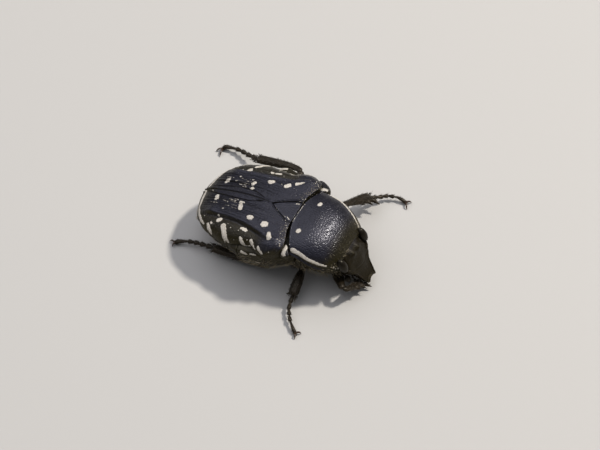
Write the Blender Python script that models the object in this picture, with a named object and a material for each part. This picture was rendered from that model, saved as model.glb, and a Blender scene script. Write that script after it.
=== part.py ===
"""White-spotted chafer beetle, life size, standing still on six feet.

Lengths below are millimetres in the beetle's own frame: the head points to -Y, the beetle's left
is +X, and +Z is up from the floor. put() turns them into metres about the middle of the floor
that the beetle covers. Every piece is one closed skin, drawn out from a sphere whose rings are
laid along the piece.
"""

from math import acos, atan2, cos, pi, sin, sqrt

import bmesh
import bpy
from mathutils import Vector

# Driving dimensions, in millimetres
MM = 0.001
MIDDLE_X = 0.51
MIDDLE_Y = 1.72
SEAM = 0.05
SKIN_GAP = 0.03

PRONOTUM_FRONT = -3.12
PRONOTUM_BACK = 0.20
PRONOTUM_HIND_CORNER = 0.72
PRONOTUM_WIDTH = 2.36
ELYTRON_BASE = 0.10
ELYTRON_APEX = 6.25
ELYTRON_ROUNDING_FROM = 4.40
SHOULDER_BUMP = (2.36, 0.62, 0.62, 0.22)
TAIL_BUMP = (1.50, 4.95, 0.45, 0.16)
SCUTELLUM_BASE = 0.30
SCUTELLUM_TIP = 1.76
SCUTELLUM_HALF = 0.78
THORAX_FRONT = -0.62
THORAX_BACK = 2.24
ABDOMEN_BACK = 5.72
TAIL_END = 6.38
HEAD_BASE = (0.0, -3.12, 3.00)
HEAD_TIP = (0.0, -4.51, 0.60)
HEAD_CUT = -3.20
EYE_AT = (1.02, -3.47, 2.56)
EYE_SIZE = (0.34, 0.26, 0.42)
CLYPEUS_NOTCH = 0.16
TARSUS_RADIUS = 0.25
CLAW_RADIUS = 0.20

CHITIN = (0.012, 0.013, 0.020)
LEG_BLACK = (0.014, 0.012, 0.010)
CLAW_BROWN = (0.060, 0.022, 0.010)
EYE_BLACK = (0.020, 0.012, 0.010)


def law(*stations):
    """A smooth curve through (place, value) stations that never swings past them."""
    places = [station[0] for station in stations]
    values = [station[1] for station in stations]
    spans = [b - a for a, b in zip(places, places[1:])]
    rises = [(b - a) / span for a, b, span in zip(values, values[1:], spans)]
    slopes = [rises[0]]
    for before, after in zip(rises, rises[1:]):
        steady = before * after > 0
        slopes.append(2 * before * after / (before + after) if steady else 0.0)
    slopes.append(rises[-1])

    def value(at):
        if at <= places[0]:
            return values[0]
        if at >= places[-1]:
            return values[-1]
        k = max(i for i, place in enumerate(places) if place <= at)
        t = (at - places[k]) / spans[k]
        near = (1 + 2 * t) * (1 - t) ** 2 * values[k] + t * (1 - t) ** 2 * spans[k] * slopes[k]
        far = t * t * (3 - 2 * t) * values[k + 1] + t * t * (t - 1) * spans[k] * slopes[k + 1]
        return near + far

    return value


def signed_power(number, power):
    return abs(number) ** power * (1 if number >= 0 else -1)


def put(x, y, z):
    """A point of the beetle, in metres in the part's frame."""
    return Vector(((x - MIDDLE_X) * MM, (y - MIDDLE_Y) * MM, z * MM))


def material(name, colour, roughness):
    paint = bpy.data.materials.new(name)
    paint.use_nodes = True
    shader = paint.node_tree.nodes["Principled BSDF"]
    shader.inputs["Base Color"].default_value = (*colour, 1.0)
    shader.inputs["Roughness"].default_value = roughness
    shader.inputs["Metallic"].default_value = 0.0
    return paint


def finish(name, bm, colour, roughness):
    """Closes a bmesh into a named object with its own material."""
    bmesh.ops.recalc_face_normals(bm, faces=bm.faces)
    if bm.calc_volume(signed=True) < 0:
        bmesh.ops.reverse_faces(bm, faces=bm.faces)
    mesh = bpy.data.meshes.new(name)
    bm.to_mesh(mesh)
    bm.free()
    mesh.shade_smooth()
    mesh.set_sharp_from_angle(angle=0.7)
    mesh.materials.append(material(name, colour, roughness))
    piece = bpy.data.objects.new(name, mesh)
    bpy.context.scene.collection.objects.link(piece)
    return piece


def ring_form(around, along, surface):
    """A closed skin: surface(share along, angle around) gives each point in millimetres."""
    bm = bmesh.new()
    bmesh.ops.create_uvsphere(bm, u_segments=around, v_segments=along, radius=1.0)
    for vert in bm.verts:
        share = acos(max(-1.0, min(1.0, vert.co.z))) / pi
        angle = atan2(vert.co.y, vert.co.x) % (2 * pi)
        vert.co = put(*surface(share, angle))
    return bm


def capped(share, rings, caps_front=2, caps_back=2):
    """Turns a share of the rings into (share along the piece, how far the ring has opened)."""
    ring = share * rings
    if ring < caps_front:
        return 0.0, ring / caps_front
    if caps_back and ring > rings - caps_back:
        return 1.0, (rings - ring) / caps_back
    return (ring - caps_front) / (rings - caps_front - caps_back), 1.0


def cut_flat(bm, point, normal):
    """Cuts away what lies beyond a plane and closes the cut with one flat face."""
    found = bmesh.ops.bisect_plane(
        bm,
        geom=bm.verts[:] + bm.edges[:] + bm.faces[:],
        plane_co=put(*point),
        plane_no=Vector(normal),
        clear_outer=True,
        dist=1e-7,
    )
    rim = [item for item in found["geom_cut"] if isinstance(item, bmesh.types.BMEdge)]
    bmesh.ops.contextual_create(bm, geom=rim)


# Laws of the back: half widths and heights along Y
pronotum_half = law(
    (-3.12, 1.48), (-2.70, 1.80), (-2.20, 2.10), (-1.60, 2.28), (-1.00, 2.36), (-0.40, 2.34)
)
pronotum_margin = law((-3.12, 2.42), (-2.20, 2.76), (-1.60, 3.02), (-1.00, 3.22), (-0.40, 3.36))
pronotum_under = law((-3.12, 1.98), (-2.00, 2.35), (-1.00, 2.76), (-0.40, 2.90))
pronotum_top = law((-3.12, 3.08), (-2.50, 3.62), (-1.70, 4.02), (-0.90, 4.16), (0.20, 4.03))
elytron_half = law(
    (0.10, 2.80),
    (0.45, 3.06),
    (0.95, 3.04),
    (1.40, 2.94),
    (1.90, 2.78),
    (2.40, 2.85),
    (3.60, 2.96),
    (4.40, 2.72),
)
elytron_margin = law(
    (0.10, 3.12),
    (1.00, 3.20),
    (1.90, 3.08),
    (2.80, 2.80),
    (3.60, 2.66),
    (4.50, 2.54),
    (5.60, 2.40),
    (6.25, 2.28),
)
elytron_squareness = law((0.10, 6.00), (1.00, 5.00), (2.00, 3.40), (6.00, 3.00))
elytron_top = law(
    (0.10, 3.97), (1.74, 3.95), (3.00, 3.82), (4.00, 3.58), (5.00, 3.20), (5.70, 2.86), (6.25, 2.34)
)
base_edge = law(
    (0.70, 0.37), (1.30, 0.28), (1.80, 0.10), (2.20, 0.00), (2.50, 0.02), (2.80, 0.20), (3.02, 0.46)
)


def pronotum_back_edge(x):
    return PRONOTUM_BACK - PRONOTUM_HIND_CORNER * min(1.0, abs(x) / PRONOTUM_WIDTH) ** 2.2


def bump(x, y, spec):
    at_x, at_y, reach, height = spec
    distance = ((x - at_x) ** 2 + (y - at_y) ** 2) / reach**2
    return height / (1 + distance) ** 2 if distance < 6 else 0.0


def elytron_outer(y):
    """Half width of the two wing cases, closing in a blunt curve at the tail."""
    past = (y - ELYTRON_ROUNDING_FROM) / (ELYTRON_APEX - ELYTRON_ROUNDING_FROM)
    if past <= 0:
        return elytron_half(y)
    return elytron_half(ELYTRON_ROUNDING_FROM) * sqrt(max(0.0, 1 - min(1.0, past) ** 1.6))


def back_height(x, y):
    """Height of the wing cases' dome over a point."""
    margin = elytron_margin(y)
    across = min(1.0, abs(x) / max(0.05, elytron_outer(y)))
    dome = sqrt(max(0.0, 1 - across ** elytron_squareness(y)))
    height = margin + (elytron_top(y) - margin) * dome
    return height + (bump(abs(x), y, SHOULDER_BUMP) + bump(abs(x), y, TAIL_BUMP)) * dome


def scutellum_half(y):
    past = (y - SCUTELLUM_BASE) / (SCUTELLUM_TIP - SCUTELLUM_BASE)
    return SCUTELLUM_HALF * max(0.0, 1 - max(0.0, past)) ** 0.85


def pronotum():
    """Neck shield: a dome with its side flanges, and the folded-under flanks below them."""
    rings = 18

    def surface(share, angle):
        along, opening = capped(share, rings)
        across = opening * cos(angle)
        front = PRONOTUM_FRONT - 0.05 * across * across
        nominal = PRONOTUM_FRONT + (PRONOTUM_BACK - PRONOTUM_FRONT) * along
        half = pronotum_half(nominal)
        x = half * across
        y = front + (pronotum_back_edge(x) - front) * along
        margin = pronotum_margin(y)
        if sin(angle) >= 0:
            dome = max(0.0, 1 - abs(cos(angle)) ** 2.6) ** 0.53
            return x, y, margin + (pronotum_top(y) - margin) * dome * opening
        fold = sqrt(max(0.0, 1 - cos(angle) ** 2))
        return x, y, margin - (margin - pronotum_under(y)) * fold * opening

    finish("pronotum", ring_form(24, rings, surface), CHITIN, 0.32)


def scutellum():
    """Small long triangle that closes the wing cases' base."""
    rings = 10
    floor_z = 3.24

    def surface(share, angle):
        along, opening = capped(share, rings, 2, 0)
        y = SCUTELLUM_BASE + (SCUTELLUM_TIP - SCUTELLUM_BASE) * along
        half = scutellum_half(y) * opening - SKIN_GAP * min(1.0, opening)
        x = max(0.0, half) * signed_power(cos(angle), 0.5)
        top = back_height(x, y) - 0.03
        middle = (top + floor_z) / 2
        thick = signed_power(sin(angle), 0.5) * opening * (1 - along**6)
        return x, y, middle + (top - middle) * thick

    finish("scutellum", ring_form(12, rings, surface), CHITIN, 0.35)


def elytron(name, side):
    """Wing case: flat on top, steep at the side, waisted behind the shoulder."""
    rings = 22

    def surface(share, angle):
        along, opening = capped(share, rings, 2, 0)
        along = sin(along * pi / 2) if along > 0 else 0.0
        y = ELYTRON_BASE + (ELYTRON_APEX - ELYTRON_BASE) * along
        outer = elytron_outer(y)
        inner = scutellum_half(y) + SKIN_GAP / 2
        corner = max(0.0, (along - 0.965) / 0.035)
        centre = max((outer + min(inner, 0.40)) / 2, inner + 0.02)
        outward = max(0.0, outer - centre)
        inward = (centre - inner) * sqrt(max(0.0, 1 - corner**2))
        turn = angle / (2 * pi)
        if turn <= 0.45:
            swing, level = cos(pi * turn / 0.45), 1.0
        elif turn < 0.55:
            swing, level = -1.0, 1 - (turn - 0.45) / 0.10
        else:
            swing, level = -cos(pi * (turn - 0.55) / 0.45), 0.0
        reach = outward if swing > 0 else inward
        x = centre + reach * swing * opening
        bottom = elytron_margin(y)
        top = max(bottom, back_height(x, y))
        shift = (base_edge(x) - ELYTRON_BASE) * (1 - along) ** 3
        middle = (bottom + back_height(centre, y)) / 2
        height = bottom + (top - bottom) * level
        return side * x, y + shift, middle + (height - middle) * opening

    finish(name, ring_form(20, rings, surface), CHITIN, 0.32)


def mesepimeron(name, side):
    """Side plate that shows as a wedge between the neck shield and the wing case."""
    inner_x, outer_x = 1.86, 2.64
    top_law = law((1.86, 3.60), (2.35, 3.62), (2.66, 3.30))

    def surface(share, angle):
        along = (1 - cos(pi * share)) / 2
        opening = sqrt(max(0.0, 1 - (2 * along - 1) ** 4))
        x = inner_x + (outer_x - inner_x) * along
        front = pronotum_back_edge(x) + SEAM
        back = base_edge(x) - SEAM - 0.01
        middle_y = (front + back) / 2
        top = top_law(x)
        low = 3.02
        y = middle_y + (back - front) / 2 * cos(angle) * opening
        z = (top + low) / 2 + (top - low) / 2 * signed_power(sin(angle), 0.6) * opening
        return side * x, y, z

    finish(name, ring_form(10, 8, surface), CHITIN, 0.40)


def body_block(name, front, back, half, widest, top, belly, rings, roundness=0.75):
    """A length of the underside: flat on top under the back plates, rounded at the belly."""

    def surface(share, angle):
        along, opening = capped(share, rings)
        y = front + (back - front) * along
        across = signed_power(cos(angle), roundness)
        up = sin(angle)
        middle = widest(y)
        reach = top(y) - middle if up >= 0 else middle - belly(y)
        power = 0.35 if up >= 0 else 0.9
        x = half(y) * across * opening
        return x, y, middle + reach * signed_power(up, power) * opening

    finish(name, ring_form(20, rings, surface), CHITIN, 0.45)


def prosternum():
    """Underside of the neck ring, between the head and the front hips."""
    body_block(
        "prosternum",
        -3.06,
        THORAX_FRONT - 0.06,
        law((-3.06, 1.15), (-2.20, 1.52), (-1.20, 1.72), (-0.68, 1.70)),
        law((-3.06, 1.75), (-1.80, 2.05), (-0.68, 2.35)),
        law((-3.06, 1.92), (-2.00, 2.28), (-1.00, 2.69), (-0.68, 2.78)),
        law((-3.06, 1.42), (-2.40, 1.34), (-1.30, 1.36), (-0.68, 1.50)),
        10,
    )


def thorax():
    """Breast plates of the second and third rings, broadest under the shoulders."""
    body_block(
        "thorax_underside",
        THORAX_FRONT,
        THORAX_BACK,
        law((-0.62, 1.80), (-0.10, 2.38), (0.50, 2.78), (1.20, 3.00), (2.24, 3.10)),
        law((-0.62, 2.20), (0.60, 2.52), (1.60, 2.66), (2.24, 2.66)),
        law((-0.62, 2.76), (0.10, 2.84), (0.60, 3.02), (1.10, 3.12), (1.90, 3.00), (2.24, 2.92)),
        law((-0.62, 1.45), (0.28, 1.30), (0.52, 0.92), (1.40, 0.88), (2.24, 0.92)),
        14,
    )


def abdomen():
    """Belly rings behind the hind hips; the front end is stepped up over the hips."""
    body_block(
        "abdomen",
        THORAX_BACK + SEAM,
        ABDOMEN_BACK,
        law((2.29, 3.09), (2.75, 2.98), (3.30, 2.70), (4.40, 2.36), (5.20, 1.92), (5.72, 1.56)),
        law((2.29, 2.60), (2.90, 2.42), (3.60, 2.16), (4.50, 1.98), (5.72, 1.75)),
        law((2.29, 2.88), (2.80, 2.73), (3.60, 2.59), (4.50, 2.47), (5.72, 2.31)),
        law((2.29, 1.34), (3.02, 1.34), (3.14, 0.96), (4.20, 0.94), (5.20, 1.02), (5.72, 1.14)),
        16,
    )


def pygidium():
    """Blunt tail plate below the ends of the wing cases."""
    rings = 8
    start = ABDOMEN_BACK + SEAM

    def surface(share, angle):
        along, opening = capped(share, rings, 2, 0)
        y = start + (TAIL_END - start) * sin(along * pi / 2)
        closing = sqrt(max(0.0, 1 - ((y - start) / (TAIL_END - start)) ** 2.2)) * opening
        up = sin(angle)
        reach = 0.55 if up >= 0 else 0.62
        x = 1.56 * signed_power(cos(angle), 0.85) * closing
        return x, y, 1.72 + reach * signed_power(up, 0.75) * closing

    finish("pygidium", ring_form(18, rings, surface), CHITIN, 0.40)


# Laws of the head along its own axis, from the neck to the clypeus edge
HEAD_AXIS = Vector(HEAD_TIP) - Vector(HEAD_BASE)
HEAD_LENGTH = HEAD_AXIS.length
HEAD_DOWN = HEAD_AXIS.normalized()
HEAD_OUT = Vector((0.0, HEAD_DOWN.z, -HEAD_DOWN.y))
head_half = law(
    (0.00, 0.86), (0.50, 0.90), (1.00, 0.82), (1.45, 0.74), (2.00, 0.70), (2.50, 0.62), (2.76, 0.52)
)
head_brow = law((0.00, 0.02), (0.50, 0.14), (1.30, 0.10), (2.10, 0.02), (2.60, 0.05), (2.76, 0.08))
head_chin = law((0.00, -1.20), (0.70, -1.15), (1.30, -0.92), (1.90, -0.56), (2.40, -0.28), (2.76, -0.14))


def head_point(across, down, out):
    """A point of the head: across to the left, down its axis, and out from the face."""
    return Vector(HEAD_BASE) + Vector((across, 0, 0)) + HEAD_DOWN * down + HEAD_OUT * out


def ellipsoid(at, size, rings=8):
    def surface(share, angle):
        x = at[0] + size[0] * sin(pi * share) * cos(angle)
        y = at[1] + size[1] * sin(pi * share) * sin(angle)
        return x, y, at[2] + size[2] * cos(pi * share)

    return ring_form(12, rings, surface)


def head():
    """Face and clypeus in one piece, bent down, with a socket for each eye."""
    rings = 16

    def surface(share, angle):
        along, opening = capped(share, rings)
        across = signed_power(cos(angle), 0.8) * opening
        notch = CLYPEUS_NOTCH * max(0.0, 1 - (across / 0.75) ** 2) * max(0.0, along - 0.8) / 0.2
        down = HEAD_LENGTH * along - notch
        up = sin(angle)
        brow, chin = head_brow(down), head_chin(down)
        middle = (brow + chin) / 2
        reach = brow - middle if up >= 0 else middle - chin
        power = 0.55 if up >= 0 else 0.8
        out = middle + reach * signed_power(up, power) * opening
        return tuple(head_point(head_half(down) * across, down, out))

    bm = ring_form(16, rings, surface)
    cut_flat(bm, (0, HEAD_CUT, 0), (0, 1, 0))
    skull = finish("head", bm, CHITIN, 0.40)
    for side_name, side in (("left", 1), ("right", -1)):
        socket_size = [size + SKIN_GAP for size in EYE_SIZE]
        at = (side * EYE_AT[0], EYE_AT[1], EYE_AT[2])
        cutter = finish(f"eye_socket_{side_name}", ellipsoid(at, socket_size), CHITIN, 0.5)
        cutter.hide_render = True
        cutter.display_type = "WIRE"
        cut = skull.modifiers.new(f"socket_{side_name}", "BOOLEAN")
        cut.operation = "DIFFERENCE"
        cut.object = cutter
        cut.solver = "EXACT"
        finish(f"eye_{side_name}", ellipsoid(at, EYE_SIZE), EYE_BLACK, 0.15)


def limb(
    name,
    path,
    radii,
    colour,
    around=8,
    rings=10,
    flat=1.0,
    flat_axis=(0, 0, 1),
    tooth=None,
    floor=False,
):
    """A round or flattened piece along a path of points; radii is a law over its length."""
    points = [Vector(point) for point in path]
    marks = [0.0]
    for a, b in zip(points, points[1:]):
        marks.append(marks[-1] + (b - a).length)
    length = marks[-1]
    laws = [law(*[(mark / length, point[k]) for mark, point in zip(marks, points)]) for k in range(3)]
    radius = law(*radii)

    def spot(share):
        return Vector([axis(share) for axis in laws])

    def surface(share, angle):
        along = (1 - cos(pi * share)) / 2
        end = min(along, 1 - along) * length / max(radius(along), 0.01)
        opening = sqrt(max(0.0, 1 - (1 - min(1.0, end)) ** 2))
        step = 0.02
        heading = (spot(min(1.0, along + step)) - spot(max(0.0, along - step))).normalized()
        wide = heading.cross(Vector(flat_axis)).normalized()
        thin = wide.cross(heading).normalized()
        size = radius(along) * opening
        reach = size
        if tooth:
            reach += tooth(along) * max(0.0, cos(angle)) ** 3 * opening
        return tuple(spot(along) + wide * cos(angle) * reach + thin * sin(angle) * size * flat)

    bm = ring_form(around, rings, surface)
    if floor:
        cut_flat(bm, (0, 0, 0), (0, 0, -1))
    finish(name, bm, colour, 0.45)


def antenna(name, side):
    """Elbowed feeler with a short leafed club, tucked against the face below the eye."""
    base = head_point(side * 1.02, 1.04, -0.56)
    elbow = head_point(side * 1.06, 1.30, -0.56)
    club = head_point(side * 1.05, 1.60, -0.51)
    tip = head_point(side * 0.98, 1.92, -0.42)
    limb(
        name,
        [base, elbow, club, tip],
        [(0.0, 0.14), (0.35, 0.16), (0.55, 0.21), (0.85, 0.24), (1.0, 0.20)],
        LEG_BLACK,
        rings=8,
    )


def mouthparts():
    """Upper lip, jaws and palps as one brush-like piece behind the clypeus."""
    limb(
        "mouthparts",
        [head_point(0, 1.72, -0.86), head_point(0, 2.05, -0.72), head_point(0, 2.38, -0.52)],
        [(0.0, 0.16), (0.5, 0.19), (1.0, 0.15)],
        LEG_BLACK,
        around=8,
        rings=6,
        flat=0.6,
        flat_axis=tuple(HEAD_OUT),
    )


def saw(*teeth):
    """Teeth on the outer edge of a shin: each is (share along, height, width as a share)."""

    def height(along):
        return sum(high * max(0.0, 1 - abs(along - at) / wide) for at, high, wide in teeth)

    return height


# Each leg in millimetres: hip, knee, shin, then the foot's way points and the claws from tip to tip
LEGS = {
    "front_left": {
        "coxa": [(0.40, -2.02, 0.98), (1.05, -1.72, 1.04)],
        "thigh": [(1.28, -1.72, 1.00), (2.95, -1.10, 1.86)],
        "shin": [(3.12, -1.06, 1.88), (5.05, -1.95, 0.80)],
        "foot": [(5.42, -2.30, 0.52), (5.90, -2.80, 0.36), (6.10, -3.45, 0.30)],
        "claws": [(5.86, -4.02, 0.08), (6.06, -3.74, 0.14), (6.42, -3.96, 0.08)],
        "radii": (0.34, 0.32),
        "teeth": ((0.62, 0.12, 0.10), (0.80, 0.20, 0.10), (0.96, 0.24, 0.10)),
        "teeth_side": 1,
    },
    "front_right": {
        "coxa": [(-0.36, -1.92, 0.98), (-1.00, -1.66, 1.04)],
        "thigh": [(-0.42, -2.40, 0.86), (-1.66, -3.46, 1.26)],
        "shin": [(-1.84, -3.66, 1.30), (-0.22, -4.05, 0.36)],
        "foot": [(0.10, -3.86, 0.32), (0.62, -3.50, 0.28), (0.95, -3.00, 0.28)],
        "claws": [(1.30, -2.62, 0.08), (1.08, -2.74, 0.14), (0.92, -2.42, 0.08)],
        "radii": (0.32, 0.27),
        "teeth": ((0.50, 0.16, 0.09), (0.72, 0.14, 0.09), (0.94, 0.30, 0.09)),
        "teeth_side": 1,
    },
    "middle_left": {
        "coxa": [(0.40, 0.12, 1.00), (1.12, -0.05, 1.02)],
        "thigh": [(1.35, 0.18, 0.72), (2.78, 0.42, 1.16)],
        "shin": [(2.94, 0.48, 1.14), (3.98, 0.98, 0.62)],
        "foot": [(4.30, 1.18, 0.42), (4.66, 1.55, 0.32), (4.80, 2.10, 0.28)],
        "claws": [(4.62, 2.66, 0.08), (4.82, 2.42, 0.14), (5.12, 2.64, 0.08)],
        "radii": (0.32, 0.26),
        "teeth": ((0.60, 0.08, 0.10), (0.95, 0.10, 0.08)),
        "teeth_side": -1,
    },
    "middle_right": {
        "coxa": [(-0.40, 0.12, 1.00), (-1.12, -0.02, 1.02)],
        "thigh": [(-0.80, 0.56, 0.44), (-1.30, -0.72, 0.92)],
        "shin": [(-1.52, -0.94, 1.12), (-3.12, -1.08, 0.62)],
        "foot": [(-3.64, -1.16, 0.42), (-4.38, -1.55, 0.32), (-4.86, -2.02, 0.28)],
        "claws": [(-4.78, -2.58, 0.08), (-5.06, -2.30, 0.14), (-5.42, -2.40, 0.08)],
        "radii": (0.30, 0.27),
        "teeth": ((0.62, 0.08, 0.10), (0.95, 0.12, 0.08)),
        "teeth_side": 1,
    },
    "hind_left": {
        "coxa": [(0.34, 2.66, 1.06), (1.55, 2.62, 1.08)],
        "thigh": [(1.45, 2.62, 0.52), (4.10, 2.22, 1.80)],
        "shin": [(4.26, 2.30, 1.86), (4.66, 5.35, 0.86)],
        "foot": [(4.76, 5.80, 0.52), (4.84, 6.70, 0.34), (4.70, 7.30, 0.30)],
        "claws": [(4.16, 7.72, 0.08), (4.60, 7.62, 0.14), (4.72, 8.00, 0.08)],
        "radii": (0.34, 0.28),
        "teeth": ((0.55, 0.10, 0.08), (0.96, 0.14, 0.07)),
        "teeth_side": 1,
    },
    "hind_right": {
        "coxa": [(-0.34, 2.66, 1.06), (-1.55, 2.62, 1.08)],
        "thigh": [(-0.98, 3.05, 0.50), (-1.92, 1.20, 0.62)],
        "shin": [(-2.22, 1.08, 1.06), (-2.24, 4.55, 0.62)],
        "foot": [(-2.22, 5.05, 0.44), (-2.27, 6.05, 0.32), (-2.42, 6.55, 0.28)],
        "claws": [(-2.96, 7.06, 0.08), (-2.54, 6.88, 0.14), (-2.36, 7.24, 0.08)],
        "radii": (0.32, 0.27),
        "teeth": ((0.55, 0.10, 0.08), (0.96, 0.12, 0.07)),
        "teeth_side": -1,
    },
}


def toward(start, end, gap):
    """The start moved a little way along the line to the end, which leaves a seam at a joint."""
    start, end = Vector(start), Vector(end)
    return tuple(start + (end - start).normalized() * gap)


def leg(name, plan):
    """One leg from the hip to the claws, each length a piece of its own."""
    thigh, shin = plan["radii"]
    coxa_radii = [(0.0, 0.22), (0.5, 0.26), (1.0, 0.22)]
    limb(f"coxa_{name}", plan["coxa"], coxa_radii, LEG_BLACK, rings=6, flat=0.85)
    thigh_radii = [(0.0, thigh * 0.72), (0.45, thigh), (1.0, thigh * 0.70)]
    limb(f"femur_{name}", plan["thigh"], thigh_radii, LEG_BLACK, rings=8, flat=0.80)
    shin_radii = [(0.0, shin * 0.78), (0.15, shin * 0.80), (0.75, shin * 0.98), (1.0, shin)]
    limb(
        f"tibia_{name}",
        plan["shin"],
        shin_radii,
        LEG_BLACK,
        rings=12,
        flat=0.85,
        flat_axis=(0, 0, plan["teeth_side"]),
        tooth=saw(*plan["teeth"]),
    )
    foot = plan["foot"]
    claws = plan["claws"]
    ankle = toward(plan["shin"][1], foot[0], SEAM)
    way = [ankle, *foot, toward(claws[1], foot[-1], CLAW_RADIUS + SEAM)]
    foot_radii = [(0.0, TARSUS_RADIUS * 0.9), (0.5, TARSUS_RADIUS), (1.0, TARSUS_RADIUS * 0.95)]
    limb(f"tarsus_{name}", way, foot_radii, LEG_BLACK, rings=10)
    claw_radii = [(0.0, 0.09), (0.25, 0.14), (0.5, CLAW_RADIUS), (0.75, 0.14), (1.0, 0.09)]
    limb(f"claws_{name}", claws, claw_radii, CLAW_BROWN, rings=10, floor=True)


def build():
    for old in list(bpy.data.objects):
        bpy.data.objects.remove(old, do_unlink=True)
    pronotum()
    scutellum()
    prosternum()
    thorax()
    abdomen()
    pygidium()
    head()
    mouthparts()
    for name, side in (("left", 1), ("right", -1)):
        elytron(f"elytron_{name}", side)
        mesepimeron(f"mesepimeron_{name}", side)
        antenna(f"antenna_{name}", side)
    for name, plan in LEGS.items():
        leg(name, plan)


build()
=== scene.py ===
from math import cos, pi, radians, sin

import bmesh
import bpy
import numpy as np
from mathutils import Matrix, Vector


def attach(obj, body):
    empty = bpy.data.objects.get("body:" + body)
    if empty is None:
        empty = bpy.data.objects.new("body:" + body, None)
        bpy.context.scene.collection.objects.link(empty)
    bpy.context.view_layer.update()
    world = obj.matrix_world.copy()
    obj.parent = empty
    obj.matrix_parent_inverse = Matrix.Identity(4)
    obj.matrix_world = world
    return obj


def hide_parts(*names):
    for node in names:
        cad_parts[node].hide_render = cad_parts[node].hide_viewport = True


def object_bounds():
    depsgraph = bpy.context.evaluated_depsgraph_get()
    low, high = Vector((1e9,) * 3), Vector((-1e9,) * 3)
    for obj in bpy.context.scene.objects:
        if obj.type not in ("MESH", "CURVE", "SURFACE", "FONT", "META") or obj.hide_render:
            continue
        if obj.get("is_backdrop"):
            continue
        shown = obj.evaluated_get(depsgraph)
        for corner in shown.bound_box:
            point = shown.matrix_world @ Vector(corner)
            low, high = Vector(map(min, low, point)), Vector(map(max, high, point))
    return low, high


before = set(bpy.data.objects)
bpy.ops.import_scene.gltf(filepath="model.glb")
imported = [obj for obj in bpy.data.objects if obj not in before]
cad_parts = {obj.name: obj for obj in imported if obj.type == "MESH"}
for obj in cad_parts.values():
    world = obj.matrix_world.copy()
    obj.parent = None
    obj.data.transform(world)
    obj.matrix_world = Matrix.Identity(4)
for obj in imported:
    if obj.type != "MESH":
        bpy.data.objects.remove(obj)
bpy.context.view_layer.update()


# Neck shield
# One hard domed plate of chitin over the first ring of the breast, finely pitted, with a beaded rim.
# It is moulded from a sphere whose rings run from the head to the wing cases.

MM = 0.001
MIDDLE = np.array([0.51, 1.72, 0.0])  # the frame's origin, in the beetle's own millimetres
SEED = 41
SIDES = (("left", 1), ("right", -1))
BLOT_RISE = 0.012  # how far a cream blot's scales stand up

PRONOTUM_FRONT = -3.12
PRONOTUM_BACK = 0.225
PRONOTUM_HIND_CORNER = 0.72
PRONOTUM_WIDTH = 2.36
PRONOTUM_CAP = 0.07  # the share of the skin that closes each end

INK = (0.008, 0.0078, 0.013)
INK_CLOUD = (0.011, 0.0108, 0.018)
INK_FLECK = (0.001, 0.001, 0.0014)
GREY_FLECK = (0.075, 0.068, 0.085)
# Painted reflection: the olive-brown that a warm yellow surround throws on steep chitin.
OLIVE_REFLECTION = (0.015, 0.0115, 0.0022)
CREAM = (0.61, 0.565, 0.5)
CREAM_SHADE = (0.4, 0.355, 0.28)
# Specular tints, a painted reflection: bluish on the back like a sky above, warm on the sides like a yellow
# surround.
BACK_REFLECTION_TINT, FLANK_REFLECTION_TINT = (0.9, 0.87, 1.0), (1.0, 0.86, 0.46)


def law(*stations):
    """A smooth curve through (place, value) stations that never swings past them."""
    places, values = (np.array(column, float) for column in zip(*stations))
    spans = np.diff(places)
    rises = np.diff(values) / spans
    before, after = rises[:-1], rises[1:]
    steady = before * after > 0
    total = np.where(steady, before + after, 1.0)
    inner = np.where(steady, 2 * before * after / total, 0.0)
    slopes = np.concatenate([rises[:1], inner, rises[-1:]])

    def value(at):
        at = np.clip(at, places[0], places[-1])
        k = np.clip(np.searchsorted(places, at, side="right") - 1, 0, len(spans) - 1)
        t = (at - places[k]) / spans[k]
        near = (1 + 2 * t) * (1 - t) ** 2 * values[k] + t * (1 - t) ** 2 * spans[k] * slopes[k]
        far = t * t * (3 - 2 * t) * values[k + 1] + t * t * (t - 1) * spans[k] * slopes[k + 1]
        return near + far

    return value


def signed_power(number, power):
    return np.abs(number) ** power * np.where(number >= 0, 1.0, -1.0)


def fade(value, low, high):
    """0 below low, 1 above high, and a smooth step between."""
    t = np.clip((value - low) / (high - low), 0.0, 1.0)
    return t * t * (3 - 2 * t)


def hump(value, at, width):
    """A smooth rise of 1 at one place, over about the width to each side."""
    return np.exp(-(((value - at) / width) ** 2))


def band(value, low, full, fall, end):
    """1 between full and fall, 0 below low and above end, with smooth steps."""
    return fade(value, low, full) * (1 - fade(value, fall, end))


def points_of(piece):
    """A piece's points in the beetle's millimetres."""
    flat = np.empty(len(piece.data.vertices) * 3)
    piece.data.vertices.foreach_get("co", flat)
    return flat.reshape(-1, 3) / MM + MIDDLE


def normals_of(piece):
    flat = np.empty(len(piece.data.vertices) * 3)
    piece.data.vertex_normals.foreach_get("vector", flat)
    return flat.reshape(-1, 3)


def show(name, data):
    """Puts a mesh, a light or a camera in the scene as an object of its own."""
    thing = bpy.data.objects.new(name, data)
    bpy.context.scene.collection.objects.link(thing)
    return thing


def skinned(name, bm):
    """Turns a bmesh into a smooth piece."""
    mesh = bpy.data.meshes.new(name)
    bm.to_mesh(mesh)
    bm.free()
    mesh.shade_smooth()
    return show(name, mesh)


unwrap = {}  # for each moulded piece, every point's shares of the way around and along its skin


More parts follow.
